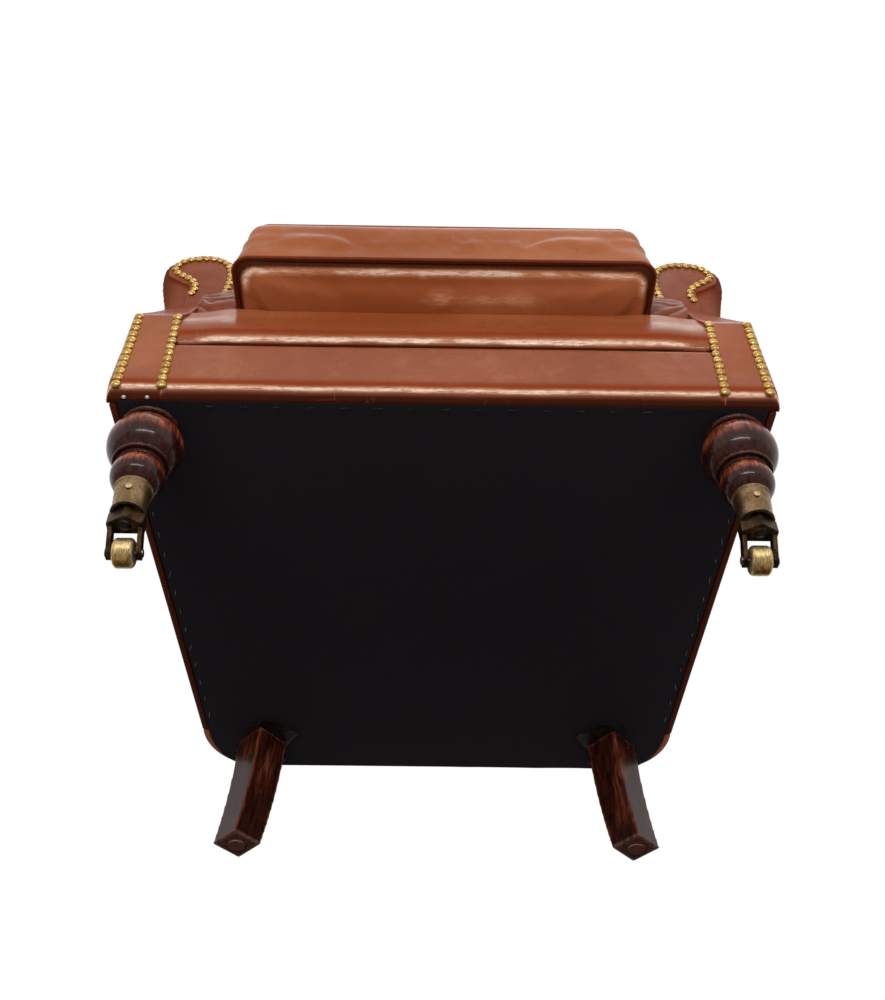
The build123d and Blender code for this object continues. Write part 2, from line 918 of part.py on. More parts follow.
with BuildPart() as back_frame:
    posts = back_side(post_rear + rail_thickness, post_rear + fit)
    extrude(posts, amount=base_width, dir=across_chair)
    with BuildSketch(across(-overall_depth)):
        for side, hand in hands:
            with Locations((side * (post_outer - post_width / 2), (springing_height + rail_top + fit) / 2)):
                Rectangle(post_width, springing_height - rail_top - fit)
        for height in (side_top, springing_height - post_width):
            with Locations((0, height + post_width / 2)):
                Rectangle(2 * post_outer, post_width)
    extrude(amount=-2 * overall_depth, mode=Mode.INTERSECT)
keep(back_frame, "back_frame")

with BuildPart() as outside_back:
    panel = back_side(panel_thickness, 0)
    extrude(panel, amount=base_width, dir=across_chair)
    round_top = arch_section(-overall_depth, opening_half - fit)
    extrude(round_top, amount=2 * overall_depth, dir=(0, 1, 0), mode=Mode.INTERSECT)
    split(bisect_by=level(wing_foot), keep=Keep.TOP)
keep(outside_back, "outside_back")

pad_rear = cover_thickness + rail_thickness + 2 * fit
pad_face = pad_rear + back_pad_thickness

with BuildPart() as inside_back:
    extrude(back_side(pad_face, pad_rear), amount=base_width, dir=across_chair)
    loft(inner_arch(fit), ruled=True, mode=Mode.INTERSECT)
    split(bisect_by=level(web_z + web_thickness + fit), keep=Keep.TOP)
keep(inside_back, "inside_back")

with BuildPart() as back_buttons:
    for row in range(button_rows):
        z = deck_height + cushion_height + button_row_pitch * (row + 1)
        slope = (rear_y(z + overrun) - rear_y(z - overrun)) / (2 * overrun)
        shift = 0 if row % 2 else 0.5
        columns = (-1, 0, 1) if row % 2 else (-1, 0)
        for column in columns:
            button_plane = Plane(
                origin=(button_pitch * (column + shift), rear_y(z) - pad_face - 4 * fit, z),
                x_dir=(1, 0, 0),
                z_dir=(0, -1, slope),
            )
            with BuildSketch(button_plane):
                Circle(button_radius)
            extrude(amount=button_thickness, both=True)
    extrude(back_side(pad_face + fit, -overrun), amount=base_width, dir=across_chair, mode=Mode.SUBTRACT)
keep(back_buttons, "back_buttons")

# Nails: low domes, drawn as short many-sided frustums and set on the planes of their seats


def nail_plane(x, y, z, slope=0):
    """Plane of a nail's seat that faces the front, tipped by this slope."""
    return Plane(origin=(x, y, z), x_dir=(1, 0, 0), z_dir=(0, -1, slope))


def nail_head(radius, height, sides):
    """One nail head, standing on the ground plane at the origin."""
    with BuildPart(mode=Mode.PRIVATE) as head:
        with BuildSketch(level(0)):
            RegularPolygon(radius, sides)
        with BuildSketch(level(height)):
            RegularPolygon(radius * dome_share, sides)
        loft(ruled=True)
    return head.part


dome_share = 0.5
nail_span = nail_pitch * (nails_per_column - 1)
outer_foot = half_width(base_front) - nail_margin
inner_foot = front_half + nail_radius + 2 * fit
column_lean = 2.3
front_seats = []
for side, hand in hands:
    for foot_x, drift in ((outer_foot, -column_lean), (inner_foot, column_lean)):
        for place in range(nails_per_column):
            rise = nail_pitch * place
            x = foot_x + drift * rise / nail_span
            front_seats.append(nail_plane(side * x, base_front - fit, front_clearance + nail_first + rise))

with BuildPart() as front_nails:
    with Locations(*front_seats):
        add(nail_head(nail_radius, nail_height, 8))
keep(front_nails, "front_nails")

scroll_nail_shares = (
    (0.16, -1.12),
    (0.098, -0.756),
    (0.176, -0.52),
    (0.347, -0.316),
    (0.547, -0.16),
    (0.76, 0.029),
    (0.822, 0.242),
    (0.724, 0.5),
    (0.531, 0.689),
    (0.256, 0.756),
    (-0.222, 0.778),
    (-0.618, 0.589),
    (-0.818, 0.14),
    (-0.858, -0.564),
    (-0.764, -1.244),
)

with BuildLine(mode=Mode.PRIVATE) as nail_path:
    Spline(*[(scroll_x + a * scroll_radius, scroll_z + b * scroll_radius) for a, b in scroll_nail_shares])
path_edge = nail_path.edges()[0]
scroll_nails = round(path_edge.length / scroll_nail_pitch)
scroll_spots = [path_edge.position_at(place / scroll_nails) for place in range(scroll_nails + 1)]

scroll_seats = []
for side, hand in hands:
    for spot in scroll_spots:
        scroll_seats.append(nail_plane(side * spot.X, facing_y - fit, spot.Y))

with BuildPart() as arm_nails:
    with Locations(*scroll_seats):
        add(nail_head(scroll_nail_radius, nail_height, 8))
keep(arm_nails, "arm_nails")

wing_nail_foot = scroll_z + scroll_radius + nail_margin
hood_seats = []
hood_spots = []
straight = springing_height - wing_nail_foot
count = round(straight / hood_nail_pitch)
for place in range(count + 1):
    hood_spots.append((0, wing_nail_foot + straight * place / count))
arch_radius = outer_half(crown_y) - nail_margin
bends = round(arch_radius * pi / hood_nail_pitch / 2)
for place in range(1, bends + 1):
    turn = pi / 2 * place / bends
    hood_spots.append((turn, springing_height + arch_radius * sin(turn)))
for side, hand in hands:
    for turn, z in hood_spots:
        y = front_y(z)
        slope = (front_y(z + fit) - front_y(z - fit)) / (2 * fit)
        x = (outer_half(y) - nail_margin) * cos(turn)
        if side > 0 or x > nail_radius:
            hood_seats.append(nail_plane(side * x, y - 2 * fit, z, slope))

with BuildPart() as hood_nails:
    with Locations(*hood_seats):
        add(nail_head(scroll_nail_radius, nail_height, 6))
keep(hood_nails, "hood_nails")

rim_radius = opening_half + nail_margin
bends = round(rim_radius * pi / hood_nail_pitch)
back_spots = [
    (rim_radius * cos(pi * place / bends), springing_height + rim_radius * sin(pi * place / bends))
    for place in range(bends + 1)
]
rise = springing_height - wing_foot - nail_margin
count = round(rise / hood_nail_pitch)
for side, hand in hands:
    for place in range(1, count + 1):
        back_spots.append((side * rim_radius, springing_height - rise * place / count))
back_seats = []
for x, z in back_spots:
    slope = (rear_y(z + fit) - rear_y(z - fit)) / (2 * fit)
    back_seats.append(Plane(origin=(x, rear_y(z) + fit, z), x_dir=(-1, 0, 0), z_dir=(0, 1, -slope)))

with BuildPart() as back_nails:
    with Locations(*back_seats):
        add(nail_head(scroll_nail_radius, nail_height - fit, 6))
keep(back_nails, "back_nails")

# Dust cover under the frame, pierced for the dowels and the plate screws

cover_inset = cover_thickness + 2 * fit
cover_front = front_rail_y

with BuildPart() as dust_cover:
    with BuildSketch(level(rear_clearance - overrun)) as outline:
        with BuildLine():
            Polyline(
                (half_width(cover_front) - cover_inset, cover_front),
                (half_width(base_rear) - cover_inset, base_rear - cover_inset),
                (-half_width(base_rear) + cover_inset, base_rear - cover_inset),
                (-half_width(cover_front) + cover_inset, cover_front),
                close=True,
            )
        make_face()
        rear_corners = outline.vertices().sort_by(Axis.Y)[-2:]
        fillet(rear_corners, radius=rear_corner_radius - cover_inset)
    extrude(amount=front_clearance - rear_clearance + 2 * overrun)
    split(bisect_by=underside, keep=Keep.TOP)
    split(bisect_by=underside.offset(dust_cover_thickness), keep=Keep.BOTTOM)
    for side, hand in hands:
        with BuildSketch(level(leg_top - overrun)):
            with Locations((side * leg_x, leg_y)):
                Circle(dowel_radius + fit)
        extrude(amount=2 * overrun, mode=Mode.SUBTRACT)
    add(plate_screw_bores.part, mode=Mode.SUBTRACT)
keep(dust_cover, "dust_cover")

# Front legs: turned in one piece with the dowel above and the tenon that fills the socket below

collar_edge = collar_height * 0.4
tenon_gap = running_clearance + socket_wall

for side, hand in hands:
    with BuildPart() as front_leg:
        with BuildSketch(Plane(origin=(side * leg_x, leg_y, 0), x_dir=(1, 0, 0), z_dir=(0, -1, 0))):
            with BuildLine():
                crown = Polyline(
                    (0, leg_top + dowel_length),
                    (dowel_radius, leg_top + dowel_length),
                    (dowel_radius, leg_top + spigot_height),
                    (spigot_radius, leg_top + spigot_height),
                    (spigot_radius, collar_top),
                    (collar_radius - collar_edge, collar_top),
                )
                collar = ThreePointArc(
                    crown @ 1,
                    (collar_radius, collar_top - collar_height / 2),
                    (collar_radius - collar_edge, neck_top),
                )
                neck = ThreePointArc(
                    collar @ 1,
                    (neck_radius, neck_top - neck_height / 2),
                    (collar_radius - collar_edge, bulb_top),
                )
                bulb = ThreePointArc(
                    neck @ 1,
                    (bulb_radius, bulb_top - bulb_height / 2),
                    (bead_radius - bead_height / 2, bulb_foot),
                )
                bead = ThreePointArc(
                    bulb @ 1,
                    (bead_radius, bulb_foot - bead_height / 2),
                    (bead_radius - bead_height / 2, bead_foot),
                )
                waist = ThreePointArc(
                    bead @ 1,
                    (waist_radius, bead_foot - waist_height * 0.6),
                    (waist_radius + bead_height / 2, small_top),
                )
                small = ThreePointArc(
                    waist @ 1,
                    (small_bulb_radius, small_top - small_bulb_height / 2),
                    (socket_top_radius - socket_wall, small_foot),
                )
                Polyline(
                    small @ 1,
                    (socket_top_radius - tenon_gap, small_foot),
                    (socket_radius(web_top) - tenon_gap, web_top + fit),
                    (0, web_top + fit),
                    (0, leg_top + dowel_length),
                )
            make_face()
        revolve(axis=Axis((side * leg_x, leg_y, 0), (0, 0, 1)))
        with BuildSketch(level(web_top)):
            with Locations((side * leg_x, leg_y)):
                Circle(swivel_head_radius + fit)
        extrude(amount=swivel_head_height + 2 * fit, mode=Mode.SUBTRACT)
        with BuildSketch(across(leg_y - socket_radius(screw_z))):
            with Locations((side * leg_x, screw_z)):
                Circle(socket_screw_radius * screw_shank_share + fit)
        extrude(amount=-socket_screw_length - fit, mode=Mode.SUBTRACT)
        with BuildPart(mode=Mode.PRIVATE) as above_underside:
            with BuildSketch(level(rear_clearance - overrun)):
                with Locations((side * leg_x, leg_y)):
                    Rectangle(4 * collar_radius, 4 * collar_radius)
                    Circle(dowel_radius, mode=Mode.SUBTRACT)
            extrude(amount=leg_top + dowel_length)
            split(bisect_by=underside.offset(-fit), keep=Keep.TOP)
        add(above_underside.part, mode=Mode.SUBTRACT)
    keep(front_leg, f"front_leg_{hand}")

# Castors: brass socket, swivel pin, horn with two arms, axle and wheel

horn_top = socket_rim - socket_gap
horn_foot = horn_top - horn_height
wheel_y = leg_y + castor_trail
arm_inner = wheel_width / 2 + wheel_side_gap
arm_outer = arm_inner + arm_thickness
screw_seat = socket_radius(screw_z + socket_screw_radius) + fit
socket_lip = socket_top - fit

for side, hand in hands:
    x = side * leg_x
    leg_axis = Axis((x, leg_y, 0), (0, 0, 1))
    with BuildPart() as caster_socket:
        with BuildSketch(Plane(origin=(x, leg_y, 0), x_dir=(1, 0, 0), z_dir=(0, -1, 0))):
            with BuildLine():
                Polyline(
                    (swivel_radius + running_clearance, web_top - socket_wall),
                    (socket_radius(web_top - socket_wall) - socket_wall, web_top - socket_wall),
                    (socket_rim_radius - socket_wall, socket_rim),
                    (socket_rim_radius + socket_bead, socket_rim),
                    (socket_rim_radius + socket_bead, socket_rim + socket_wall),
                    (socket_radius(socket_rim + 2 * socket_wall), socket_rim + 2 * socket_wall),
                    (socket_radius(socket_lip - 2 * socket_wall), socket_lip - 2 * socket_wall),
                    (socket_top_radius + socket_bead, socket_lip - socket_wall),
                    (socket_top_radius + socket_bead, socket_lip),
                    (socket_top_radius - socket_wall, socket_lip),
                    (socket_radius(web_top) - socket_wall, web_top),
                    (swivel_radius + running_clearance, web_top),
                    close=True,
                )
            make_face()
        revolve(axis=leg_axis)
        with BuildSketch(across(leg_y - 2 * socket_top_radius)):
            with Locations((x, screw_z)):
                Circle(socket_screw_radius * screw_shank_share + fit)
        extrude(amount=-2 * socket_top_radius, mode=Mode.SUBTRACT)
    keep(caster_socket, f"caster_socket_{hand}")
    with BuildPart() as swivel_pin:
        with BuildSketch(Plane(origin=(x, leg_y, 0), x_dir=(1, 0, 0), z_dir=(0, -1, 0))):
            with BuildLine():
                Polyline(
                    (0, horn_foot - swivel_head_height - running_clearance),
                    (0, web_top + running_clearance + swivel_head_height),
                    (swivel_head_radius, web_top + running_clearance + swivel_head_height),
                    (swivel_head_radius, web_top + running_clearance),
                    (swivel_radius, web_top + running_clearance),
                    (swivel_radius, horn_foot - running_clearance),
                    (swivel_head_radius, horn_foot - running_clearance),
                    (swivel_head_radius * 0.85, horn_foot - swivel_head_height * 0.5),
                    (swivel_head_radius * 0.5, horn_foot - swivel_head_height * 0.88),
                    close=True,
                )
            make_face()
        revolve(axis=leg_axis)
    keep(swivel_pin, f"swivel_pin_{hand}")
    with BuildPart() as caster_horn:
        with BuildSketch(level(horn_foot)):
            with BuildLine():
                Polyline(
                    (x, leg_y - horn_nose),
                    (x + horn_half_width, leg_y - horn_shoulder),
                    (x + horn_half_width, leg_y + horn_tail),
                    (x - horn_half_width, leg_y + horn_tail),
                    (x - horn_half_width, leg_y - horn_shoulder),
                    close=True,
                )
            make_face()
        extrude(amount=horn_height)
        for inner in (-arm_outer, arm_inner):
            with BuildSketch(along(x + inner)):
                with BuildLine():
                    Polyline(
                        (leg_y - horn_shoulder, horn_top - horn_height / 2),
                        (leg_y + horn_tail, horn_top - horn_height / 2),
                        (wheel_y + horn_arm_radius, wheel_radius),
                        (wheel_y - horn_arm_radius * 0.8, wheel_radius - horn_arm_radius * 0.6),
                        close=True,
                    )
                make_face()
                with Locations((wheel_y, wheel_radius)):
                    Circle(horn_arm_radius)
            extrude(amount=arm_thickness)
        with BuildSketch(level(horn_foot - overrun)):
            with Locations((x, leg_y)):
                Circle(swivel_radius + running_clearance)
        extrude(amount=2 * overrun, mode=Mode.SUBTRACT)
        with BuildSketch(along(x - horn_half_width)):
            with Locations((wheel_y, wheel_radius)):
                Circle(axle_radius + running_clearance)
        extrude(amount=2 * horn_half_width, mode=Mode.SUBTRACT)
    keep(caster_horn, f"caster_horn_{hand}")
    with BuildPart() as caster_axle:
        with BuildSketch(along(x - arm_outer - running_clearance)):
            with Locations((wheel_y, wheel_radius)):
                Circle(axle_radius)
        extrude(amount=2 * arm_outer + 2 * running_clearance)
        for end in (-arm_outer - running_clearance - rivet_height, arm_outer + running_clearance):
            with BuildSketch(along(x + end)):
                with Locations((wheel_y, wheel_radius)):
                    Circle(rivet_radius)
            extrude(amount=rivet_height)
    keep(caster_axle, f"caster_axle_{hand}")
    with BuildPart() as caster_wheel:
        with BuildSketch(along(x - wheel_width / 2)):
            with Locations((wheel_y, wheel_radius)):
                Circle(wheel_radius)
        extrude(amount=wheel_width)
        rims = caster_wheel.edges().filter_by(GeomType.CIRCLE)
        fillet(rims, radius=wheel_edge_radius)
        with BuildSketch(along(x - wheel_width / 2)):
            with Locations((wheel_y, wheel_radius)):
                Circle(axle_radius + running_clearance)
        extrude(amount=wheel_width, mode=Mode.SUBTRACT)
    keep(caster_wheel, f"caster_wheel_{hand}")

with BuildPart() as socket_screws:
    for side, hand in hands:
        with BuildSketch(across(leg_y - screw_seat - socket_screw_head)):
            with Locations((side * leg_x, screw_z)):
                Circle(socket_screw_radius)
        extrude(amount=-socket_screw_head)
        with BuildSketch(across(leg_y - screw_seat)):
            with Locations((side * leg_x, screw_z)):
                Circle(socket_screw_radius * screw_shank_share)
        extrude(amount=-socket_screw_length)
keep(socket_screws, "socket_screws")

# Rear legs: square, set ridge forward under a plate screwed to the corner block

foot_top = glide_height + fit

for side, hand in hands:
    with BuildPart() as rear_leg_plate:
        with BuildSketch(plate_plane(side)):
            Rectangle(plate_width, plate_length, rotation=-side * plate_angle)
        extrude(amount=-plate_thickness)
        add(plate_screw_bores.part, mode=Mode.SUBTRACT)
    keep(rear_leg_plate, f"rear_leg_plate_{hand}")
    with BuildPart() as rear_leg:
        for z, splay_share, width in (
            (foot_top, 1, rear_leg_foot_side),
            (rear_clearance / 2, sabre_share, (rear_leg_foot_side + rear_leg_side) / 2),
            (rear_clearance + overrun, 0, rear_leg_side),
        ):
            with BuildSketch(level(z)):
                with Locations((side * (rear_leg_x + rear_leg_splay * splay_share), rear_leg_y)):
                    Rectangle(width, width, rotation=45)
        loft()
        split(bisect_by=plate_plane(side).offset(-plate_thickness - fit), keep=Keep.BOTTOM)
    keep(rear_leg, f"rear_leg_{hand}")

with BuildPart() as plate_screws:
    for side, hand in hands:
        for depth, radius, length in (
            (plate_screw_head + fit, plate_screw_radius, plate_screw_head),
            (fit, plate_screw_radius * screw_shank_share, plate_screw_length),
        ):
            with BuildSketch(plate_plane(side).offset(-plate_thickness - depth)):
                turned, corners = plate_screw_spots(side)
                with turned, corners:
                    Circle(radius)
            extrude(amount=length)
keep(plate_screws, "plate_screws")

with BuildPart() as rear_glides:
    for side, hand in hands:
        with BuildSketch(level(0)):
            with Locations((side * (rear_leg_x + rear_leg_splay), rear_leg_y)):
                Circle(glide_radius)
        extrude(amount=glide_height)
keep(rear_glides, "rear_glides")

# Seat cushion: boxed, its sides drawn in between the piped edges, with a crown on top

cushion_front = base_front - cushion_overhang + 2 * piping_radius + fit
cushion_rear = deck_back - cushion_back_gap
cushion_foot = deck_height + fit
cushion_front_width = 2 * (inner_front_half - cushion_front_gap)
cushion_rear_width = 2 * (inner_half(cushion_rear) - cushion_rear_gap)


def cushion_outline(z, inset, narrowing=0):
    """Plan of the cushion at this height, drawn in all round and narrowed further at the sides."""
    front = cushion_front_width / 2 - inset - narrowing
    rear = cushion_rear_width / 2 - inset - narrowing * 0.5
    with BuildSketch(level(z)) as outline:
        with BuildLine():
            Polyline(
                (-front, cushion_front + inset),
                (front, cushion_front + inset),
                (rear, cushion_rear - inset),
                (-rear, cushion_rear - inset),
                close=True,
            )
        make_face()
        fillet(outline.vertices(), radius=cushion_corner_radius)
    return outline.sketch


cushion_top = cushion_foot + cushion_height
crown_run = cushion_front_width / 8

with BuildPart() as seat_cushion:
    loft(
        [
            cushion_outline(cushion_foot, cushion_edge),
            cushion_outline(cushion_foot + cushion_edge, 0),
            cushion_outline(cushion_foot + cushion_height / 2, cushion_drawn_in, cushion_narrowing / 2),
            cushion_outline(cushion_top - cushion_edge, 0, cushion_narrowing),
            cushion_outline(cushion_top, cushion_edge, cushion_narrowing),
            cushion_outline(cushion_top + cushion_crown * 0.6, crown_run, cushion_narrowing),
            cushion_outline(cushion_top + cushion_crown, 2 * crown_run, cushion_narrowing),
        ],
        ruled=True,
    )
keep(seat_cushion, "seat_cushion")

with BuildPart() as cushion_piping:
    for z, narrowing in (
        (cushion_foot + cushion_edge, 0),
        (cushion_top - cushion_edge, cushion_narrowing),
    ):
        outline = cushion_outline(z, -piping_radius - fit, narrowing)
        path = outline.wires()[0]
        start = Plane(origin=path @ 0, z_dir=path % 0)
        with BuildSketch(start):
            RegularPolygon(piping_radius, 6)
        sweep(path=path, transition=Transition.RIGHT)
keep(cushion_piping, "cushion_piping")
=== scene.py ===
import json
import math

import bmesh
import bpy
import numpy as np
from mathutils import Matrix, Vector


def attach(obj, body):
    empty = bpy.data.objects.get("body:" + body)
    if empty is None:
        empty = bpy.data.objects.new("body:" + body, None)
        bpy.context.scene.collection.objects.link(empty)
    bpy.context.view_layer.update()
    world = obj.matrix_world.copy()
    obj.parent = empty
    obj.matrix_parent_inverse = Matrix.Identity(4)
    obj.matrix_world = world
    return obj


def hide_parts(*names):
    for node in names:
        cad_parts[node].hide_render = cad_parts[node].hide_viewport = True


bl_info = {
    "name": "Hall Porter Chair",
    "version": (1, 0, 0),
    "blender": (4, 5, 0),
    "location": "3D View > Sidebar > Porter Chair",
    "description": "Dresses the porter chair in leather, nails, turned wood and brass",
    "category": "Object",
}

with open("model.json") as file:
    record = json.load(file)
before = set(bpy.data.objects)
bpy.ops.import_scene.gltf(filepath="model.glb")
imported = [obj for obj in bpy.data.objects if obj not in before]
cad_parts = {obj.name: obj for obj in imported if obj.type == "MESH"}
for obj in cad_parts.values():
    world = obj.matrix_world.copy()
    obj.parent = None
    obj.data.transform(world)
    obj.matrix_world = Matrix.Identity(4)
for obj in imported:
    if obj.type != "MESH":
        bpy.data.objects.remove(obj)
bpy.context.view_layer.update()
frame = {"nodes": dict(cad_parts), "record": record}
HANDS = ((-1, "left"), (1, "right"))
FRONT_EDGE = -0.3267  # where the underside begins


def srgb(red, green, blue):
    """Turns a colour written as 0 to 255 into the linear values that shaders take."""
    return tuple((c / 255) ** 2.2 for c in (red, green, blue)) + (1.0,)


# Sizes and colours a user would change


def hide_colour(name, description, colour):
    """A colour of the hide that a user may change."""
    return bpy.props.FloatVectorProperty(
        name=name, description=description, subtype="COLOR", size=4, default=colour, min=0, max=1,
    )


def length(name, description, default, low, high):
    """A length in metres that a user may change."""
    return bpy.props.FloatProperty(
        name=name, description=description, unit="LENGTH", default=default, min=low, max=high,
    )


class LeatherLook(bpy.types.PropertyGroup):
    """Colours and surface of the hide"""

    mid: hide_colour("Tan", "Main colour of the hide", srgb(154, 84, 50))
    dark: hide_colour("Dark", "Colour of the folds and the shaded patches", srgb(116, 48, 24))
    # Also the colour of the painted highlights along rubbed edges
    worn: hide_colour("Worn", "Colour where the finish has rubbed away", srgb(222, 162, 122))
    pore: length("Pore spacing", "Distance between the pores of the grain", 0.0013, 0.0005, 0.005)


class CushionSize(bpy.types.PropertyGroup):
    """Size of the loose seat cushion"""

    swell: length("Swell", "How far the filling may push the leather out", 0.007, 0, 0.03)


class NailSize(bpy.types.PropertyGroup):
    """Size of the domed nails"""

    rise: length("Dome height", "Height of a nail's dome", 0.0042, 0.001, 0.01)


class StageLook(bpy.types.PropertyGroup):
    """Floor, lamps and camera"""

    lens: bpy.props.FloatProperty(
        name="Lens", description="Focal length of the camera in millimetres", default=46.8, min=10, max=200,
    )
    key: bpy.props.FloatProperty(
        name="Key light", description="Power that the lamps are set from, in watts",
        default=28, min=0, max=1000,
    )


# Small tools for making meshes


def deselect():
    """Leaves nothing selected."""
    if bpy.context.object and bpy.context.object.mode != "OBJECT":
        bpy.ops.object.mode_set(mode="OBJECT")
    bpy.ops.object.select_all(action="DESELECT")


def pick(*objects):
    """Selects only these objects and makes the first one active."""
    deselect()
    for obj in objects:
        obj.select_set(True)
    bpy.context.view_layer.objects.active = objects[0]


def apply(obj, kind, **settings):
    """Adds a modifier with these settings and applies it."""
    pick(obj)
    modifier = obj.modifiers.new(kind.lower(), kind)
    for name, value in settings.items():
        setattr(modifier, name, value)
    bpy.ops.object.modifier_apply(modifier=modifier.name)


def points_of(obj):
    """The mesh's points as an array, one row each."""
    flat = np.zeros(len(obj.data.vertices) * 3)
    obj.data.vertices.foreach_get("co", flat)
    return flat.reshape(-1, 3)


def normals_of(obj):
    """The mesh's point normals as an array."""
    flat = np.zeros(len(obj.data.vertices) * 3, np.float32)
    obj.data.vertex_normals.foreach_get("vector", flat)
    return flat.reshape(-1, 3).astype(float)


def set_points(obj, points):
    """Writes the mesh's points back."""
    obj.data.vertices.foreach_set("co", points.astype(np.float32).ravel())
    obj.data.update()


def swell(obj, outward):
    """Moves each point out along its normal, all by one distance or each by its own."""
    set_points(obj, points_of(obj) + normals_of(obj) * np.reshape(outward, (-1, 1)))


def attribute(obj, name, values):
    """Stores one number for each point, which a material can read."""
    layer = obj.data.attributes.get(name) or obj.data.attributes.new(name, "FLOAT", "POINT")
    layer.data.foreach_set("value", np.asarray(values, np.float32))


def lattice(cells, seed):
    """A repeatable number from 0 to 1 for each whole-numbered cell."""
    x, y, z = (cells[:, i].astype(np.int64) for i in range(3))
    mixed = (x * 73856093) ^ (y * 19349663) ^ (z * 83492791) ^ (seed * 2654435761)
    mixed = (mixed ^ (mixed >> 13)) * 1274126177
    return ((mixed ^ (mixed >> 16)) & 0xFFFFFF) / float(0xFFFFFF)


def noise(points, size, seed=0, octaves=2):
    """Smooth noise from -1 to 1 over the points, its swells this far apart."""
    total, weight, gain = np.zeros(len(points)), 0.0, 1.0
    sizes = np.broadcast_to(np.asarray(size, float), (3,))
    for octave in range(octaves):
        scaled = points / (sizes / 2**octave) + seed * 7.31
        cell = np.floor(scaled)
        part = scaled - cell
        part = part * part * (3 - 2 * part)
        value = np.zeros(len(points))
        for corner in range(8):
            step = np.array([corner & 1, corner >> 1 & 1, corner >> 2 & 1])
            share = np.prod(np.where(step, part, 1 - part), axis=1)
            value += share * lattice(cell + step, seed + octave * 17)
        total += gain * (2 * value - 1)
        weight += gain
        gain *= 0.5
    return total / weight


def bell(distance, reach):
    """1 at no distance, falling smoothly to nothing a few reaches away."""
    return np.exp(-((distance / reach) ** 2))


def step(low, high, values):
    """0 below low, 1 above high, smooth between."""
    part = np.clip((values - low) / (high - low), 0, 1)
    return part * part * (3 - 2 * part)


def copy_of(name, node):
    """A merged copy of a CAD node, as a new object."""
    obj = bpy.data.objects.new(name, frame["nodes"][node].data.copy())
    bpy.context.scene.collection.objects.link(obj)
    pick(obj)
    bpy.ops.object.mode_set(mode="EDIT")
    bpy.ops.mesh.select_all(action="SELECT")
    bpy.ops.mesh.remove_doubles(threshold=1e-6)
    bpy.ops.object.mode_set(mode="OBJECT")
    obj.data.materials.clear()
    return obj


def smooth_shade(obj, angle=None):
    """Shades the piece smoothly, or only across edges flatter than the angle in degrees."""
    pick(obj)
    if angle is None:
        bpy.ops.object.shade_smooth()
    else:
        bpy.ops.object.shade_smooth_by_angle(angle=math.radians(angle))


def finish_piece(obj, body, slot, material, *nodes):
    """Gives a piece its material and its CAD body, and hides the CAD nodes it stands for."""
    obj.data.materials.clear()
    obj.data.materials.append(material)
    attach(obj, body)
    if nodes:
        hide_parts(*nodes)


def solids_of(node):
    """The point clouds of the separate solids in a CAD node."""
    mesh = frame["nodes"][node].data
    points = points_of(frame["nodes"][node])
    keys, index = np.unique(np.round(points, 5), axis=0, return_inverse=True)
    index = index.ravel()
    parent = list(range(len(keys)))

    def root(i):
        while parent[i] != i:
            parent[i] = parent[parent[i]]
            i = parent[i]
        return i

    for polygon in mesh.polygons:
        first = root(index[polygon.vertices[0]])
        for other in polygon.vertices[1:]:
            parent[root(index[other])] = first
    groups = {}
    for i in range(len(keys)):
        groups.setdefault(root(i), []).append(keys[i])
    return [np.array(group) for group in groups.values()]


# Small tools for making materials


class Finish:
    """A material under construction: each method adds a node and returns its output."""

    def __init__(self, name):
        self.material = bpy.data.materials.new(name)
        self.material.use_nodes = True
        self.tree = self.material.node_tree
        self.shader = self.tree.nodes["Principled BSDF"]
        self.place = self.add("TexCoord").outputs["Object"]

    def wire(self, socket, value):
        if isinstance(value, bpy.types.NodeSocket):
            self.tree.links.new(value, socket)
        else:
            socket.default_value = value

    def add(self, kind, inputs=None, **settings):
        """A node of this kind, with its settings, and its inputs linked or set."""
        node = self.tree.nodes.new("ShaderNode" + kind)
        for name, value in settings.items():
            setattr(node, name, value)
        for key, value in (inputs or {}).items():
            self.wire(node.inputs[key], value)
        return node

    def stretched(self, scale, turn=(0, 0, 0)):
        inputs = {"Vector": self.place, "Scale": scale, "Rotation": turn}
        return self.add("Mapping", inputs).outputs["Vector"]

    def cloud(self, size, detail=3, rough=0.5, distort=0.0, source=None):
        inputs = {"Vector": source or self.place, "Scale": 1 / size, "Detail": detail, "Roughness": rough}
        return self.add("TexNoise", inputs | {"Distortion": distort}).outputs["Fac"]

    def cells(self, size, feature, source=None):
        inputs = {"Vector": source or self.place, "Scale": 1 / size}
        return self.add("TexVoronoi", inputs, feature=feature).outputs["Distance"]

    def bands(self, size, distort, axis):
        inputs = {"Vector": self.place, "Scale": 1 / size, "Distortion": distort}
        inputs |= {"Detail": 3, "Detail Scale": 1.5}
        return self.add("TexWave", inputs, bands_direction=axis).outputs["Fac"]

    def read(self, name):
        return self.add("Attribute", attribute_name=name).outputs["Fac"]

    def spread(self, value, low, high, to_low=0.0, to_high=1.0):
        inputs = {"Value": value, "From Min": low, "From Max": high, "To Min": to_low, "To Max": to_high}
        return self.add("MapRange", inputs, interpolation_type="SMOOTHSTEP").outputs["Result"]

    def calc(self, kind, first, second):
        return self.add("Math", {0: first, 1: second}, operation=kind).outputs[0]

    def mix(self, share, first, second):
        return self.add("Mix", {0: share, 6: first, 7: second}, data_type="RGBA").outputs[2]

    def bump(self, height, depth, below=None, strength=1.0):
        inputs = {"Height": height, "Distance": depth, "Strength": strength}
        if below is not None:
            inputs["Normal"] = below
        return self.add("Bump", inputs).outputs["Normal"]

    def put(self, **sockets):
        for name, value in sockets.items():
            self.wire(self.shader.inputs[name.replace("_", " ")], value)
        return self.material


MATERIALS = {}


def look(name):
    """The material with this name, made when it is first asked for."""
    if name not in MATERIALS:
        MATERIALS[name] = FINISHES[name]()
    return MATERIALS[name]


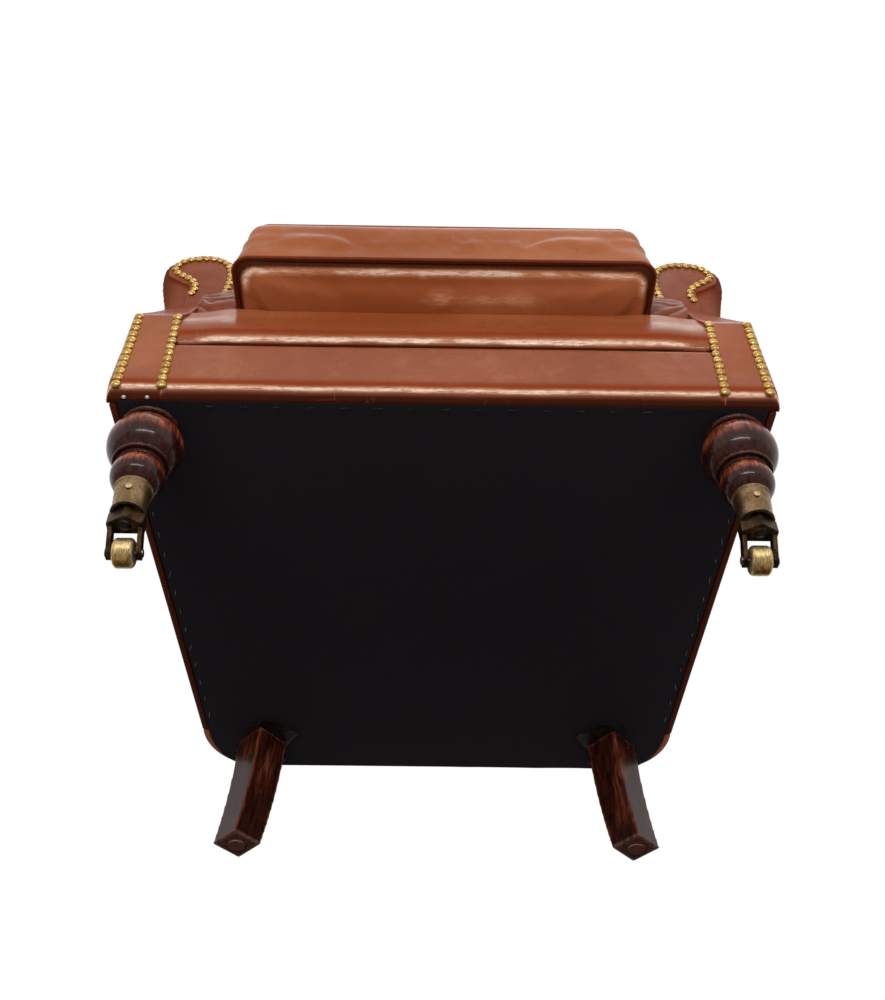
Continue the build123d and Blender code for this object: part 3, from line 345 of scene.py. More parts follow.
def leather():
    """Waxed hide: tan, a little darker in random patches, paler where rubbed, with pores and scratches;
    painted highlights along rubbed edges, painted shade in folds, creases and seams, and painted light where
    it is set paler.
    """
    p = bpy.context.scene.chair_leather
    mid, dark, worn = tuple(p.mid), tuple(p.dark), tuple(p.worn)
    f = Finish("waxed_hide")
    broad = f.cloud(0.17, 4, 0.55, 0.4)
    mottled = f.cloud(0.03, 5, 0.62, 0.6)
    fine = f.cloud(0.005, 4, 0.6)
    colour = f.mix(f.spread(broad, 0.34, 0.66, 0.3, 0.0), mid, dark)
    colour = f.mix(f.spread(mottled, 0.3, 0.7, 0.16, 0.0), colour, dark)
    rubbed = f.calc("MULTIPLY", f.spread(mottled, 0.5, 0.75), f.spread(broad, 0.4, 0.7))
    colour = f.mix(f.calc("MULTIPLY", rubbed, 0.1), colour, worn)
    colour = f.mix(f.spread(fine, 0.3, 0.75, 0.0, 0.16), colour, dark)
    broken = f.spread(f.cloud(0.0022, 4, 0.7, 0.2, f.stretched((0.2, 1, 1))), 0.32, 0.6, 0.25, 1.0)
    # Along rubbed edges the tan turns paler: real rubbing, and on the front pieces and the cushion a painted
    # highlight
    edge = f.calc("MULTIPLY", f.spread(f.read("wear"), 0.15, 0.9), broken)
    # Painted light: a paler, lit tan on the cushion's sides and underside, the roll's top and the corner
    # panels
    pale = f.mix(f.spread(broad, 0.35, 0.65), srgb(156, 86, 52), srgb(176, 108, 72))
    colour = f.mix(f.read("pale"), colour, pale)
    # Painted shade: a saturated red-brown above the lit edges, on faces turned up, on the lower welt, the
    # facings, the outside arms and the hip
    colour = f.mix(f.calc("MULTIPLY", f.read("deep"), 0.85), colour, srgb(138, 60, 30))
    colour = f.mix(f.calc("MULTIPLY", edge, 0.75), colour, worn)
    # Painted highlight: a near-white line along the crest of the lit edges
    painted_highlight = f.calc("MULTIPLY", f.spread(f.read("wear"), 0.7, 1.0), broken)
    colour = f.mix(f.calc("MULTIPLY", painted_highlight, 0.8), colour, srgb(246, 222, 200))
    # Painted shade: near-black in seams, under the welt, in pleats, on turned-under edges and along the foot
    # of the outside arms
    colour = f.mix(f.calc("MULTIPLY", f.read("fold"), 0.9), colour, srgb(44, 16, 11))
    creases = f.cells(0.016, "DISTANCE_TO_EDGE", f.stretched((1, 1, 2.2), (0.3, 0.5, 0.2)))
    crease = f.spread(creases, 0.0, 0.03, 1.0, 0.0)
    crease = f.calc("MULTIPLY", crease, f.spread(f.cloud(0.08, 3), 0.5, 0.64))
    long_cells = f.cells(0.045, "DISTANCE_TO_EDGE", f.stretched((1, 1, 0.15), (0.25, 0.35, 0.9)))
    scratch = f.spread(long_cells, 0.0, 0.004, 1.0, 0.0)
    scratch = f.calc("MULTIPLY", scratch, f.spread(f.cloud(0.07, 4), 0.55, 0.63))
    colour = f.mix(f.calc("MULTIPLY", scratch, 0.22), colour, worn)
    # Painted shade in the fine creases
    colour = f.mix(f.calc("MULTIPLY", crease, 0.22), colour, dark)
    pores = f.spread(f.cells(p.pore, "F1"), 0.1, 0.6)
    grain = f.calc("MULTIPLY", pores, f.spread(mottled, 0.2, 0.7, 0.5, 1.0))
    normal = f.bump(f.cloud(0.02, 3, 0.5), 0.0009)
    normal = f.bump(crease, 0.0005, normal, 0.6)
    normal = f.bump(grain, 0.00011, normal, 0.8)
    uneven = f.spread(mottled, 0.25, 0.75, 0.4, 0.26)
    rough = f.calc("ADD", uneven, f.spread(fine, 0.3, 0.7, 0, 0.06))
    matt = f.calc("MAXIMUM", f.read("fold"), f.calc("MULTIPLY", f.read("pale"), 0.9))
    matt = f.calc("MAXIMUM", f.read("deep"), matt)
    return f.put(
        Base_Color=colour, Roughness=rough, Normal=normal, Coat_Roughness=0.13,
        Specular_IOR_Level=f.spread(matt, 0, 1, 0.15, 0.02), Coat_Weight=f.spread(matt, 0, 1, 0.3, 0.04),
    )


def turned_wood(name="dark_stained_wood", rubbed=(104, 42, 22), bare=(176, 92, 54), coat=0.3):
    """Stained and waxed wood, worn red-brown where hands and shoes rub it, and painted pale along the sabre
    legs' edges as a highlight.
    """
    f = Finish(name)
    grain_map = f.stretched((1, 1, 0.12))
    grain = f.cloud(0.004, 5, 0.65, 0.5, grain_map)
    patch = f.cloud(0.022, 4, 0.6, 0.8, f.stretched((1, 1, 0.5)))
    colour = f.mix(f.spread(grain, 0.35, 0.7), srgb(34, 17, 14), srgb(66, 33, 26))
    # Rubbed red-brown where hands and shoes rub it, and along the sabre legs' edges a painted highlight as
    # well
    share = f.calc("MULTIPLY", f.read("wear"), f.spread(patch, 0.3, 0.62, 0.35, 1.0))
    colour = f.mix(share, colour, f.mix(f.spread(grain, 0.4, 0.65), srgb(*rubbed), srgb(*bare)))
    end_grain = f.mix(f.spread(grain, 0.3, 0.6), srgb(70, 46, 38), srgb(122, 88, 74))
    colour = f.mix(f.read("pale"), colour, end_grain)
    normal = f.bump(grain, 0.00025, None, 0.7)
    return f.put(
        Base_Color=colour, Roughness=f.spread(patch, 0.3, 0.7, 0.3, 0.2), Normal=normal, Coat_Weight=coat,
        Coat_Roughness=0.1, Specular_IOR_Level=0.12,
    )


def sabre_wood():
    return turned_wood("sabre_wood", (84, 38, 27), (142, 80, 56), 0.05)


def frame_wood():
    """Sawn beech of the hidden frame."""
    f = Finish("sawn_beech")
    grain = f.cloud(0.006, 4, 0.6, 0.4, f.stretched((0.12, 1, 1)))
    fleck = f.cells(0.004, "F1", f.stretched((0.2, 1, 1)))
    colour = f.mix(f.spread(grain, 0.3, 0.7), srgb(176, 134, 92), srgb(204, 168, 124))
    colour = f.mix(f.spread(fleck, 0.0, 0.3, 0.25, 0.0), colour, srgb(140, 98, 62))
    rough = f.spread(grain, 0.3, 0.7, 0.55, 0.75)
    return f.put(Base_Color=colour, Roughness=rough, Normal=f.bump(grain, 0.0003))


def brass(name, bright, mid, dirt_and_shade, size, rough):
    """Aged brass: bright where rubbed, brown in fine specks, and darkened by painted shade round the foot of
    a nail dome.
    """
    f = Finish(name)
    patch = f.cloud(size, 5, 0.65, 0.5)
    fine = f.cloud(size * 0.15, 4, 0.6)
    colour = f.mix(f.spread(patch, 0.35, 0.65), mid, bright)
    colour = f.mix(f.spread(fine, 0.5, 0.72, 0.0, 0.7), colour, dirt_and_shade)
    # Painted shade round the foot of a nail dome
    colour = f.mix(f.spread(f.read("fold"), 0.1, 0.9), colour, dirt_and_shade)
    return f.put(
        Base_Color=colour, Metallic=1.0, Roughness=f.spread(fine, 0.3, 0.7, rough, rough + 0.2),
        Normal=f.bump(fine, 0.00012),
    )


def nail_brass():
    return brass("nail_brass", srgb(216, 178, 106), srgb(170, 128, 66), srgb(80, 50, 28), 0.009, 0.2)


def castor_brass():
    return brass("castor_brass", srgb(150, 124, 92), srgb(112, 88, 62), srgb(56, 42, 32), 0.02, 0.3)


def horn_bronze():
    return brass("horn_bronze", srgb(86, 68, 48), srgb(48, 37, 29), srgb(25, 20, 17), 0.012, 0.34)


def wheel_brass():
    """Brass worn bright round the tread, with fine lines from rolling."""
    f = Finish("wheel_brass")
    lines = f.cloud(0.0012, 4, 0.7, 0.0, f.stretched((1, 0.2, 0.2)))
    patch = f.cloud(0.006, 4, 0.6)
    colour = f.mix(f.spread(lines, 0.3, 0.65), srgb(150, 120, 74), srgb(226, 200, 146))
    colour = f.mix(f.spread(patch, 0.5, 0.75, 0.0, 0.6), colour, srgb(92, 66, 40))
    return f.put(
        Base_Color=colour, Metallic=1.0, Roughness=f.spread(lines, 0.3, 0.7, 0.36, 0.5),
        Normal=f.bump(lines, 0.00012),
    )


def speckled(name, grain, start, colours, metallic, rough, depth):
    """A hard finish that turns from one colour to another in fine rubbed specks."""
    f = Finish(name)
    fine = f.cloud(*grain)
    colour = f.mix(f.spread(fine, start, 0.7), *colours)
    return f.put(
        Base_Color=colour, Metallic=metallic, Roughness=f.spread(fine, 0.3, 0.7, *rough),
        Normal=f.bump(fine, depth),
    )


def pin_steel():
    colours = srgb(150, 142, 132), srgb(84, 66, 52)
    return speckled("worn_steel", (0.003, 4, 0.6), 0.4, colours, 1.0, (0.28, 0.45), 0.0001)


def dark_steel():
    colours = srgb(26, 23, 22), srgb(58, 46, 40)
    return speckled("blackened_steel", (0.005, 4, 0.6), 0.4, colours, 0.6, (0.35, 0.5), 0.0001)


def glide_plastic():
    colours = srgb(112, 74, 64), srgb(160, 118, 104)
    return speckled("scuffed_glide", (0.003, 5, 0.7), 0.35, colours, 0.0, (0.45, 0.7), 0.0002)


def white_tack():
    colours = srgb(222, 216, 210), srgb(176, 160, 150)
    return speckled("white_tack", (0.001, 3, 0.6), 0.4, colours, 0.0, (0.4, 0.6), 0.00005)


def dust_cloth():
    """Thin black bottoming cloth, dusty in places."""
    f = Finish("bottoming_cloth")
    weave = f.calc("ADD", f.bands(0.0016, 0.3, "X"), f.bands(0.0016, 0.3, "Y"))
    patches = f.spread(f.cloud(0.12, 5, 0.6), 0.5, 0.75)
    dusty = f.calc("MULTIPLY", patches, f.spread(f.cloud(0.004, 4), 0.45, 0.7))
    colour = f.mix(f.spread(weave, 0.6, 1.6), srgb(33, 29, 33), srgb(46, 41, 46))
    colour = f.mix(f.calc("MULTIPLY", dusty, 0.35), colour, srgb(54, 47, 44))
    return f.put(
        Base_Color=colour, Roughness=f.spread(dusty, 0.0, 1.0, 0.82, 0.95),
        Normal=f.bump(weave, 0.00025, f.bump(f.cloud(0.03, 3), 0.0008)), Specular_IOR_Level=0.12,
    )


def woven(name, light, dark, size):
    """Coarse plain cloth."""
    f = Finish(name)
    weave = f.calc("MULTIPLY", f.bands(size, 0.4, "X"), f.bands(size, 0.4, "Y"))
    colour = f.mix(f.spread(weave, 0.1, 0.7), dark, light)
    return f.put(Base_Color=colour, Roughness=f.spread(f.cloud(0.01, 3), 0.3, 0.7, 0.8, 0.95),
                 Normal=f.bump(weave, 0.0005))


def webbing():
    return woven("jute_webbing", srgb(150, 124, 84), srgb(96, 74, 48), 0.006)


def deck_cloth():
    return woven("deck_cloth", srgb(84, 60, 44), srgb(50, 34, 26), 0.003)


FINISHES = {
    maker.__name__: maker
    for maker in (
        leather, turned_wood, sabre_wood, frame_wood, nail_brass, castor_brass, horn_bronze, wheel_brass,
        pin_steel, dark_steel, dust_cloth, webbing, deck_cloth, glide_plastic, white_tack,
    )
}

# Nodes whose finish differs from their record slot
OWN_LOOKS = {
    "caster_wheel": "wheel_brass",
    "caster_horn": "horn_bronze",
    "socket_screws": "wheel_brass",
    "swivel_pin": "dark_steel",
}


def dress_cad_nodes():
    """Gives every CAD node the finish of its record slot."""
    slots = {entry["node"]: entry["material_slot"] for entry in frame["record"]["subparts"]}
    for node, obj in frame["nodes"].items():
        obj.data.materials.clear()
        own = [name for start, name in OWN_LOOKS.items() if node.startswith(start)]
        obj.data.materials.append(look(own[0] if own else slots[node]))


# Leather skins over the CAD solids


def skin(name, node, voxel, relax):
    """A closed, even mesh over a CAD node, softened at its edges."""
    obj = copy_of(name, node)
    coarse = 2 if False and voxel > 0.0045 else 1
    apply(obj, "REMESH", mode="VOXEL", voxel_size=voxel * coarse, adaptivity=0.0)
    apply(obj, "SHRINKWRAP", target=frame["nodes"][node], wrap_method="NEAREST_SURFACEPOINT")
    if relax:
        apply(obj, "SMOOTH", iterations=relax, factor=0.5)
    return obj


def panel(name, node, edge):
    """A taut leather panel: the CAD node with its edges rounded over."""
    obj = copy_of(name, node)
    bpy.ops.object.mode_set(mode="EDIT")
    bpy.ops.mesh.select_all(action="SELECT")
    bpy.ops.mesh.dissolve_limited(angle_limit=math.radians(0.5))
    bpy.ops.object.mode_set(mode="OBJECT")
    if edge:
        apply(obj, "BEVEL", width=edge, segments=3, limit_method="ANGLE", angle_limit=math.radians(35),
              use_clamp_overlap=True)
    smooth_shade(obj, 40)
    return obj


# The hide's painted marks: rubbed edges with painted highlights, two layers of painted shade, and a paler
# tone that is painted light on the hide and end grain on the wood
PAINTS = ("wear", "deep", "fold", "pale")


def paint(obj, **layers):
    """Stores, for the material to read, rubbed edges with painted highlights, painted shade, and a paler
    tone: painted light on the hide, end grain on the wood.
    """
    for name in PAINTS:
        values = layers.get(name)
        if values is None:
            values = np.zeros(len(obj.data.vertices))
        attribute(obj, name, np.clip(values, 0, 1))


def creased(obj, amount, seed, size, grain, worn_edges):
    """Soft swells in a leather skin, with its worn edges stored for the material."""
    swell(obj, amount * noise(points_of(obj) * np.asarray(grain), size, seed, 3))
    paint(obj, wear=curvature(obj) * worn_edges)


def restored(obj, node, extra):
    """Fills a softened skin out again, until it is as wide as its CAD node and this much more."""
    wide = np.ptp(points_of(frame["nodes"][node]), axis=0)
    lost = (wide - np.ptp(points_of(obj), axis=0))[:2].min() / 2
    swell(obj, max(lost, 0) + extra)


def front_spread(y):
    """How much wider the cushion is at its front, where it stands clear of the arms."""
    return 1 + 0.020 * step(-0.285, -0.325, y)


def overhang(obj):
    """Lets the front of the cushion or its welt spread a little to the sides."""
    points = points_of(obj)
    points[:, 0] *= front_spread(points[:, 1])
    set_points(obj, points)


def curvature(obj):
    """How much the surface bulges at each point: near 0 where flat, about 1 on a tight outer edge."""
    points, normals = points_of(obj), normals_of(obj)
    pairs = np.zeros(len(obj.data.edges) * 2, np.int64)
    obj.data.edges.foreach_get("vertices", pairs)
    a, b = pairs.reshape(-1, 2).T
    along = points[b] - points[a]
    length = np.maximum(np.linalg.norm(along, axis=1), 1e-9)
    bend = np.einsum("ij,ij->i", normals[b] - normals[a], along) / length**2
    total, count = np.zeros(len(points)), np.zeros(len(points))
    for ends in (a, b):
        np.add.at(total, ends, bend)
        np.add.at(count, ends, 1)
    value = total / np.maximum(count, 1)
    for _ in range(3):
        blurred, seen = np.zeros(len(points)), np.zeros(len(points))
        np.add.at(blurred, a, value[b])
        np.add.at(blurred, b, value[a])
        np.add.at(seen, a, 1)
        np.add.at(seen, b, 1)
        value = 0.4 * value + 0.6 * blurred / np.maximum(seen, 1)
    return value / 120


class CHAIR_OT_stage(bpy.types.Operator):
    """Adds the floor, the lamps, the sky and the camera"""

    bl_idname = "chair.stage"
    bl_label = "Stage"

    def execute(self, context):
        look_at = context.scene.chair_stage
        deselect()
        bpy.ops.mesh.primitive_circle_add(vertices=96, radius=30, fill_type="NGON")
        floor = context.object
        floor.name = "floor"
        f = Finish("pale_floor")
        colour = f.mix(f.cloud(1.5), srgb(236, 236, 236), srgb(242, 242, 242))
        f.put(Base_Color=colour, Roughness=0.9, Specular_IOR_Level=0.0)
        light, sides = f.add("LightPath").outputs, f.add("NewGeometry").outputs
        distance = f.add("VectorMath", {0: f.place}, operation="LENGTH").outputs["Value"]
        glow = f.calc("MULTIPLY", f.spread(distance, 1.6, 7.0, 0.42, 1.0), light["Is Camera Ray"])
        pale = f.add("MixShader", {0: glow, 1: f.shader.outputs[0], 2: f.add("Emission").outputs[0]})
        see_through = f.calc("MAXIMUM", sides["Backfacing"], light["Is Shadow Ray"])
        clear = f.add("BsdfTransparent").outputs[0]
        blend = f.add("MixShader", {0: see_through, 1: pale.outputs[0], 2: clear})
        f.tree.links.new(blend.outputs[0], f.tree.nodes["Material Output"].inputs["Surface"])
        floor.data.materials.append(f.material)

        world = bpy.data.worlds.new("studio")
        context.scene.world = world
        world.use_nodes = True
        tree = world.node_tree
        back = tree.nodes["Background"]
        back.inputs["Color"].default_value = (1, 1, 1, 1)
        path = tree.nodes.new("ShaderNodeLightPath")
        shown = path.outputs["Is Camera Ray"]
        for ray in ("Is Glossy Ray", "Is Transmission Ray"):
            either = tree.nodes.new("ShaderNodeMath")
            either.operation = "MAXIMUM"
            tree.links.new(shown, either.inputs[0])
            tree.links.new(path.outputs[ray], either.inputs[1])
            shown = either.outputs[0]
        level = tree.nodes.new("ShaderNodeMapRange")
        level.inputs["To Min"].default_value = 0.34
        level.inputs["To Max"].default_value = 1.0
        tree.links.new(shown, level.inputs["Value"])
        tree.links.new(level.outputs["Result"], back.inputs["Strength"])

        # Name, place, aim, width, height, power and share of highlights
        lamps = (
            ("key", (-1.1, -2.6, -0.9), (0.0, -0.1, 0.3), 1.6, 1.2, look_at.key * 0.75, 0.3),
            ("fill", (1.6, -2.4, -0.7), (0.0, -0.1, 0.3), 1.4, 1.2, look_at.key * 0.45, 0.3),
            ("strip", (0.0, -3.0, 0.15), (0.0, -0.35, 0.3), 2.4, 0.12, look_at.key * 0.9, 1.0),
            ("front", (0.0, -3.0, -0.25), (0.0, -0.35, 0.3), 2.4, 0.12, look_at.key * 1.15, 0.1),
            ("top", (0.2, -0.6, 3.6), (0.0, 0.0, 0.6), 2.2, 2.2, look_at.key * 0.75, 0.1),
            ("back", (0.5, 3.0, 2.2), (0.0, 0.0, 0.8), 2.0, 2.0, look_at.key * 0.5, 0.3),
        )
        for name, spot, aim, width, height, power, shine in lamps:
            data = bpy.data.lights.new(name, "AREA")
            data.shape = "RECTANGLE"
            data.size, data.size_y, data.energy, data.specular_factor = width, height, power, shine
            lamp = bpy.data.objects.new(name, data)
            context.scene.collection.objects.link(lamp)
            lamp.location = spot
            lamp.visible_diffuse = name != "strip"
            lamp.visible_glossy = name != "front"
            lamp.rotation_euler = (Vector(aim) - Vector(spot)).to_track_quat("-Z", "Y").to_euler()

        data = bpy.data.cameras.new("camera")
        data.lens, data.sensor_width = look_at.lens, 36
        data.clip_start, data.clip_end = 0.01, 100
        camera = bpy.data.objects.new("camera", data)
        context.scene.collection.objects.link(camera)
        right, up = Vector((0.99988, -0.01565, 0.00104)), Vector((-0.01244, -0.75119, 0.65997))
        back_way = -Vector((0.00955, 0.65990, 0.75129))
        eye = (-0.0138, -1.206, -0.9515)
        placed = Matrix((right, up, back_way)).transposed().to_4x4()
        placed.translation = eye
        camera.matrix_world = placed
        context.scene.camera = camera
        context.scene.view_settings.view_transform = "Standard"
        return {"FINISHED"}


class CHAIR_OT_front(bpy.types.Operator):
    """Covers the front rail: lower panel, full roll, corner panels and the leather over the shoulders"""

    bl_idname = "chair.front"
    bl_label = "Padded Front"

    def execute(self, context):
        face, hollow, middle_z, half_height = -0.344, 0.004, 0.253, 0.048
        seam_z, roll_height, roll_y = 0.301, 0.091, -0.334
        lower = skin("front_panel_hide", "front_panel", 0.0028, 0)
        cad_face = face + hollow * ((points_of(lower)[:, 2] - middle_z) / half_height) ** 2
        self.turned_under(lower, cad_face, top=seam_z)
        self.widened(lower)
        self.dress(lower, 3, "front_panel")

        roll = skin("front_roll_hide", "front_roll", 0.003, 2)
        points = points_of(roll)
        ending = step(0.255, 0.307, np.abs(points[:, 0]))
        height = np.clip((points[:, 2] - seam_z) / roll_height, 0, 1)
        points[:, 2] += (0.016 - 0.005 * ending) * bell(points[:, 1] - roll_y, 0.016) * height**2
        points[:, 2] -= 0.002 * ending * height**1.5
        points[:, 1] += 0.003 * ending * (points[:, 1] < -0.325)
        set_points(roll, points)
        self.widened(roll)
        self.dress(roll, 7, "front_roll")
        for side, hand in HANDS:
            corner = skin(f"corner_hide_{hand}", f"corner_panel_{hand}", 0.0025, 1)
            self.turned_under(corner, face, top=9.0)
            self.sloped(corner, side)
            self.dress(corner, 11 + side, f"corner_panel_{hand}")
            self.shoulder(side, hand)
        return {"FINISHED"}

    def sloped(self, corner, side):
        """Gives a corner panel a flatter shoulder, and stands its inner edge clear of the roll."""
        foot, inner, outer = 0.358, 0.3075, 0.325
        points = points_of(corner)
        x, z = np.abs(points[:, 0]), points[:, 2]
        wanted = 0.125 - (x - inner) * 0.457
        cad = 0.151 - (x - inner) * 0.92
        points[:, 2] = np.where(z > foot, foot + (z - foot) * wanted / cad, z)
        edge = 0.3135 - 0.006 * step(0.356, 0.38, z)
        points[:, 0] = side * np.where(x < outer, edge + (x - inner) * (outer - edge) / (outer - inner), x)
        set_points(corner, points)

    def widened(self, obj):
        """Carries the ends of a front hide out against the corner panels."""
        points = points_of(obj)
        ending = step(0.290, 0.307, np.abs(points[:, 0]))
        points[:, 0] += np.sign(points[:, 0]) * 0.0085 * ending
        set_points(obj, points)

    def turned_under(self, obj, cad_face, top):
        """Bends the foot of a front panel back, where the leather turns under the rail."""
        bottom, turn, back, face, behind = 0.205, 0.024, 0.010, -0.3446, -0.327
        points = points_of(obj)
        z = points[:, 2]
        low = 1 - np.clip((z - bottom) / turn, 0, 1)
        high = 1 - np.clip((top - z) / 0.008, 0, 1)
        wanted = face + back * low**2.4 + 0.005 * high**2
        share = np.clip((behind - points[:, 1]) / (behind - cad_face), 0, 1.3)
        lower = (z < 0.358) & (points[:, 1] < behind)
        points[:, 1] = np.where(lower, behind + share * (wanted - behind), points[:, 1])
        set_points(obj, points)
        apply(obj, "SMOOTH", iterations=1, factor=0.5)

    def dress(self, obj, seed, node):
        """Swells and paints a front hide: painted shade above its rubbed lower edge, a painted highlight
        along that edge, painted shade underneath, and painted light on the roll's top and the corner panels.
        """
        swell(obj, 0.0007 * noise(points_of(obj) * np.array((0.5, 1, 1.6)), 0.08, seed, 3))
        points, normals = points_of(obj), normals_of(obj)
        under = np.clip(-normals[:, 2], 0, 1)
        along = noise(points * np.array((1, 0, 0)), 0.03, seed + 9, 3)
        corner = node.startswith("corner")
        if node == "front_roll":
            low, crest = step(0.345, 0.330, points[:, 2]), 0.42
            ends = 1 - step(0.27, 0.305, np.abs(points[:, 0]))
        else:
            low, ends, crest = step(0.238, 0.226, points[:, 2]), 1.0, 0.36
        # Painted highlight along the crest where the hide turns under, painted shade above it, on faces
        # turned up and underneath, and painted light on the roll's top and the corners' middle
        paint(
            obj,
            wear=bell(under - crest - 0.05 * along, 0.12) * (1.2 + 0.6 * along) * ends * low,
            deep=np.maximum(
                np.maximum(bell(under - 0.12, 0.12), 0.75 * bell(points[:, 2] - 0.227, 0.007)) * low,
                0.6 * step(0.2, 0.6, normals[:, 2]) + 0.5 * corner * step(0.355, 0.38, points[:, 2]),
            ),
            pale=0.75 * (node == "front_roll") * step(0.345, 0.37, points[:, 2])
            + 0.5 * corner * step(0.36, 0.34, points[:, 2]) * step(0.24, 0.26, points[:, 2]),
            fold=step(crest + 0.08, crest + 0.26, under) * low,
        )
        finish_piece(obj, "chair", "leather", look("leather"), node)
        smooth_shade(obj)

    def shoulder(self, side, hand):
        """The gathered leather between the roll's end and the foot of the arm facing."""
        near, far, low, middle_y, middle_z = 0.2585, 0.3105, 0.375, -0.295, 0.43
        seam_x, seam_z, slant = 0.3075, 0.484, 0.40
        face_y, back_y, puff = -0.2925, -0.2835, 0.016
        gather_x, gather_z = 0.322, 0.462
        deselect()
        bpy.ops.mesh.primitive_cube_add(size=1, location=(side * (near + far) / 2, middle_y, middle_z))
        piece = bpy.context.object
        piece.name = f"shoulder_hide_{hand}"
        piece.scale = (far - near, 0.02, 0.08)
        bpy.ops.object.transform_apply(location=True, scale=True)
        points = points_of(piece)
        top = points[:, 2] > middle_z
        front = points[:, 1] < middle_y
        rise = seam_z + (seam_x - np.abs(points[:, 0])) * slant
        points[:, 1] = np.where(front, face_y, back_y)
        points[:, 2] = np.where(top, rise - 0.004 * front, low)
        set_points(piece, points)
        apply(piece, "REMESH", mode="VOXEL", voxel_size=0.0022, adaptivity=0.0)
        points = points_of(piece)
        x, z = np.abs(points[:, 0]), points[:, 2]
        top = seam_z + (seam_x - x) * slant
        height = np.clip((z - low) / (top - low), 0, 1)
        front = np.clip((back_y - points[:, 1]) / 0.009, 0, 1)
        points[:, 1] -= front * puff * np.sin(np.pi * np.clip(1 - height, 0, 0.5)) ** 0.8
        turn = np.arctan2(z - gather_z, x - gather_x)
        pleat = np.sin(turn * 14 + 6 * noise(points, 0.02, 3 + side))
        points[:, 1] -= front * 0.0008 * pleat * bell(np.hypot(z - gather_z, x - gather_x) - 0.03, 0.04)
        set_points(piece, points)
        apply(piece, "SMOOTH", iterations=2, factor=0.5)
        # Painted shade in the troughs of the pleats and over the front of the gathered leather
        paint(piece, fold=0.12 + 0.4 * front * step(0.2, -0.9, pleat), deep=0.55 * front)
        finish_piece(piece, "chair", "leather", look("leather"))
        smooth_shade(piece)


class CHAIR_OT_arms(bpy.types.Operator):
    """Covers the scroll arms, their facings and the outside arms"""

    bl_idname = "chair.arms"
    bl_label = "Arms"

    def execute(self, context):
        for side, hand in HANDS:
            pad = skin(f"arm_hide_{hand}", f"arm_pad_{hand}", 0.004, 2)
            creased(pad, 0.0012, 21 + side, 0.07, (1, 0.6, 1), 0.8)
            points = points_of(pad)
            # Painted shade on the outer side of the arm pad, below its top
            paint(pad, deep=0.8 * step(0.33, 0.36, np.abs(points[:, 0])) * step(0.59, 0.55, points[:, 2]))
            finish_piece(pad, "chair", "leather", look("leather"), f"arm_pad_{hand}")
            smooth_shade(pad)
            for name, node, edge, fold in (
                ("facing_hide", "arm_facing", 0.0025, 0.12), ("outside_arm_hide", "outside_arm", 0.003, 0.4),
            ):
                piece = panel(f"{name}_{hand}", f"{node}_{hand}", edge)
                foot = 0.0
                if node == "outside_arm":
                    points = points_of(piece)
                    behind_hip = (points[:, 1] < -0.27) & (points[:, 2] > 0.40)
                    points[:, 1] = np.where(behind_hip, -0.262, points[:, 1])
                    set_points(piece, points)
                    foot = 0.5 * step(0.225, 0.212, points[:, 2])
                whole = np.ones(len(piece.data.vertices))
                # Painted shade over the whole facing and outside arm, more on the outside arm and most along
                # its foot
                paint(piece, deep=0.5 * whole, fold=fold * whole + foot)
                finish_piece(piece, "chair", "leather", look("leather"), f"{node}_{hand}")
            self.hip(side, hand)
        return {"FINISHED"}

    def hip(self, side, hand):
        """The leather under the scroll, outside the facing's nails, running out along the arm."""
        outline = (
            (0.329, 0.395), (0.3605, 0.395), (0.3605, 0.45), (0.361, 0.475), (0.3665, 0.50), (0.372, 0.527),
            (0.3745, 0.548), (0.374, 0.562), (0.369, 0.577), (0.360, 0.587), (0.345, 0.592), (0.329, 0.592),
        )
        mesh = bpy.data.meshes.new(f"hip_hide_{hand}")
        piece = bpy.data.objects.new(mesh.name, mesh)
        bpy.context.scene.collection.objects.link(piece)
        form = bmesh.new()
        rings = []
        front_y, side_slope, straight_x = -0.2795, 0.1024, 0.3605
        for y, taper in ((front_y, 0.0), (-0.24, 0.25), (-0.17, 0.8), (-0.08, 1.0), (0.066, 1.0)):
            inward = side_slope * (y - front_y) + 0.0075 * taper
            ring = []
            for x, z in outline:
                drawn = x - inward - taper * max(0, x - straight_x)
                ring.append(form.verts.new((side * drawn, y, z)))
            rings.append(ring)
        count = len(outline)
        for first, second in zip(rings, rings[1:]):
            for i in range(count):
                form.faces.new((first[i], first[(i + 1) % count], second[(i + 1) % count], second[i]))
        form.faces.new(rings[0][::-1])
        form.faces.new(rings[-1])
        bmesh.ops.recalc_face_normals(form, faces=form.faces)
        form.to_mesh(mesh)
        form.free()
        apply(piece, "REMESH", mode="VOXEL", voxel_size=0.0026, adaptivity=0.0)
        apply(piece, "SMOOTH", iterations=8, factor=0.5)
        creased(piece, 0.0008, 61 + side, 0.03, (1, 1, 1), 0.0)
        points = points_of(piece)
        outer = step(0.345, 0.370, np.abs(points[:, 0]))
        # Painted shade over the hip, darkest towards its outer side
        paint(piece, deep=0.6 + 0.4 * outer, fold=0.2 + 0.45 * outer)
        finish_piece(piece, "chair", "leather", look("leather"))
        smooth_shade(piece)


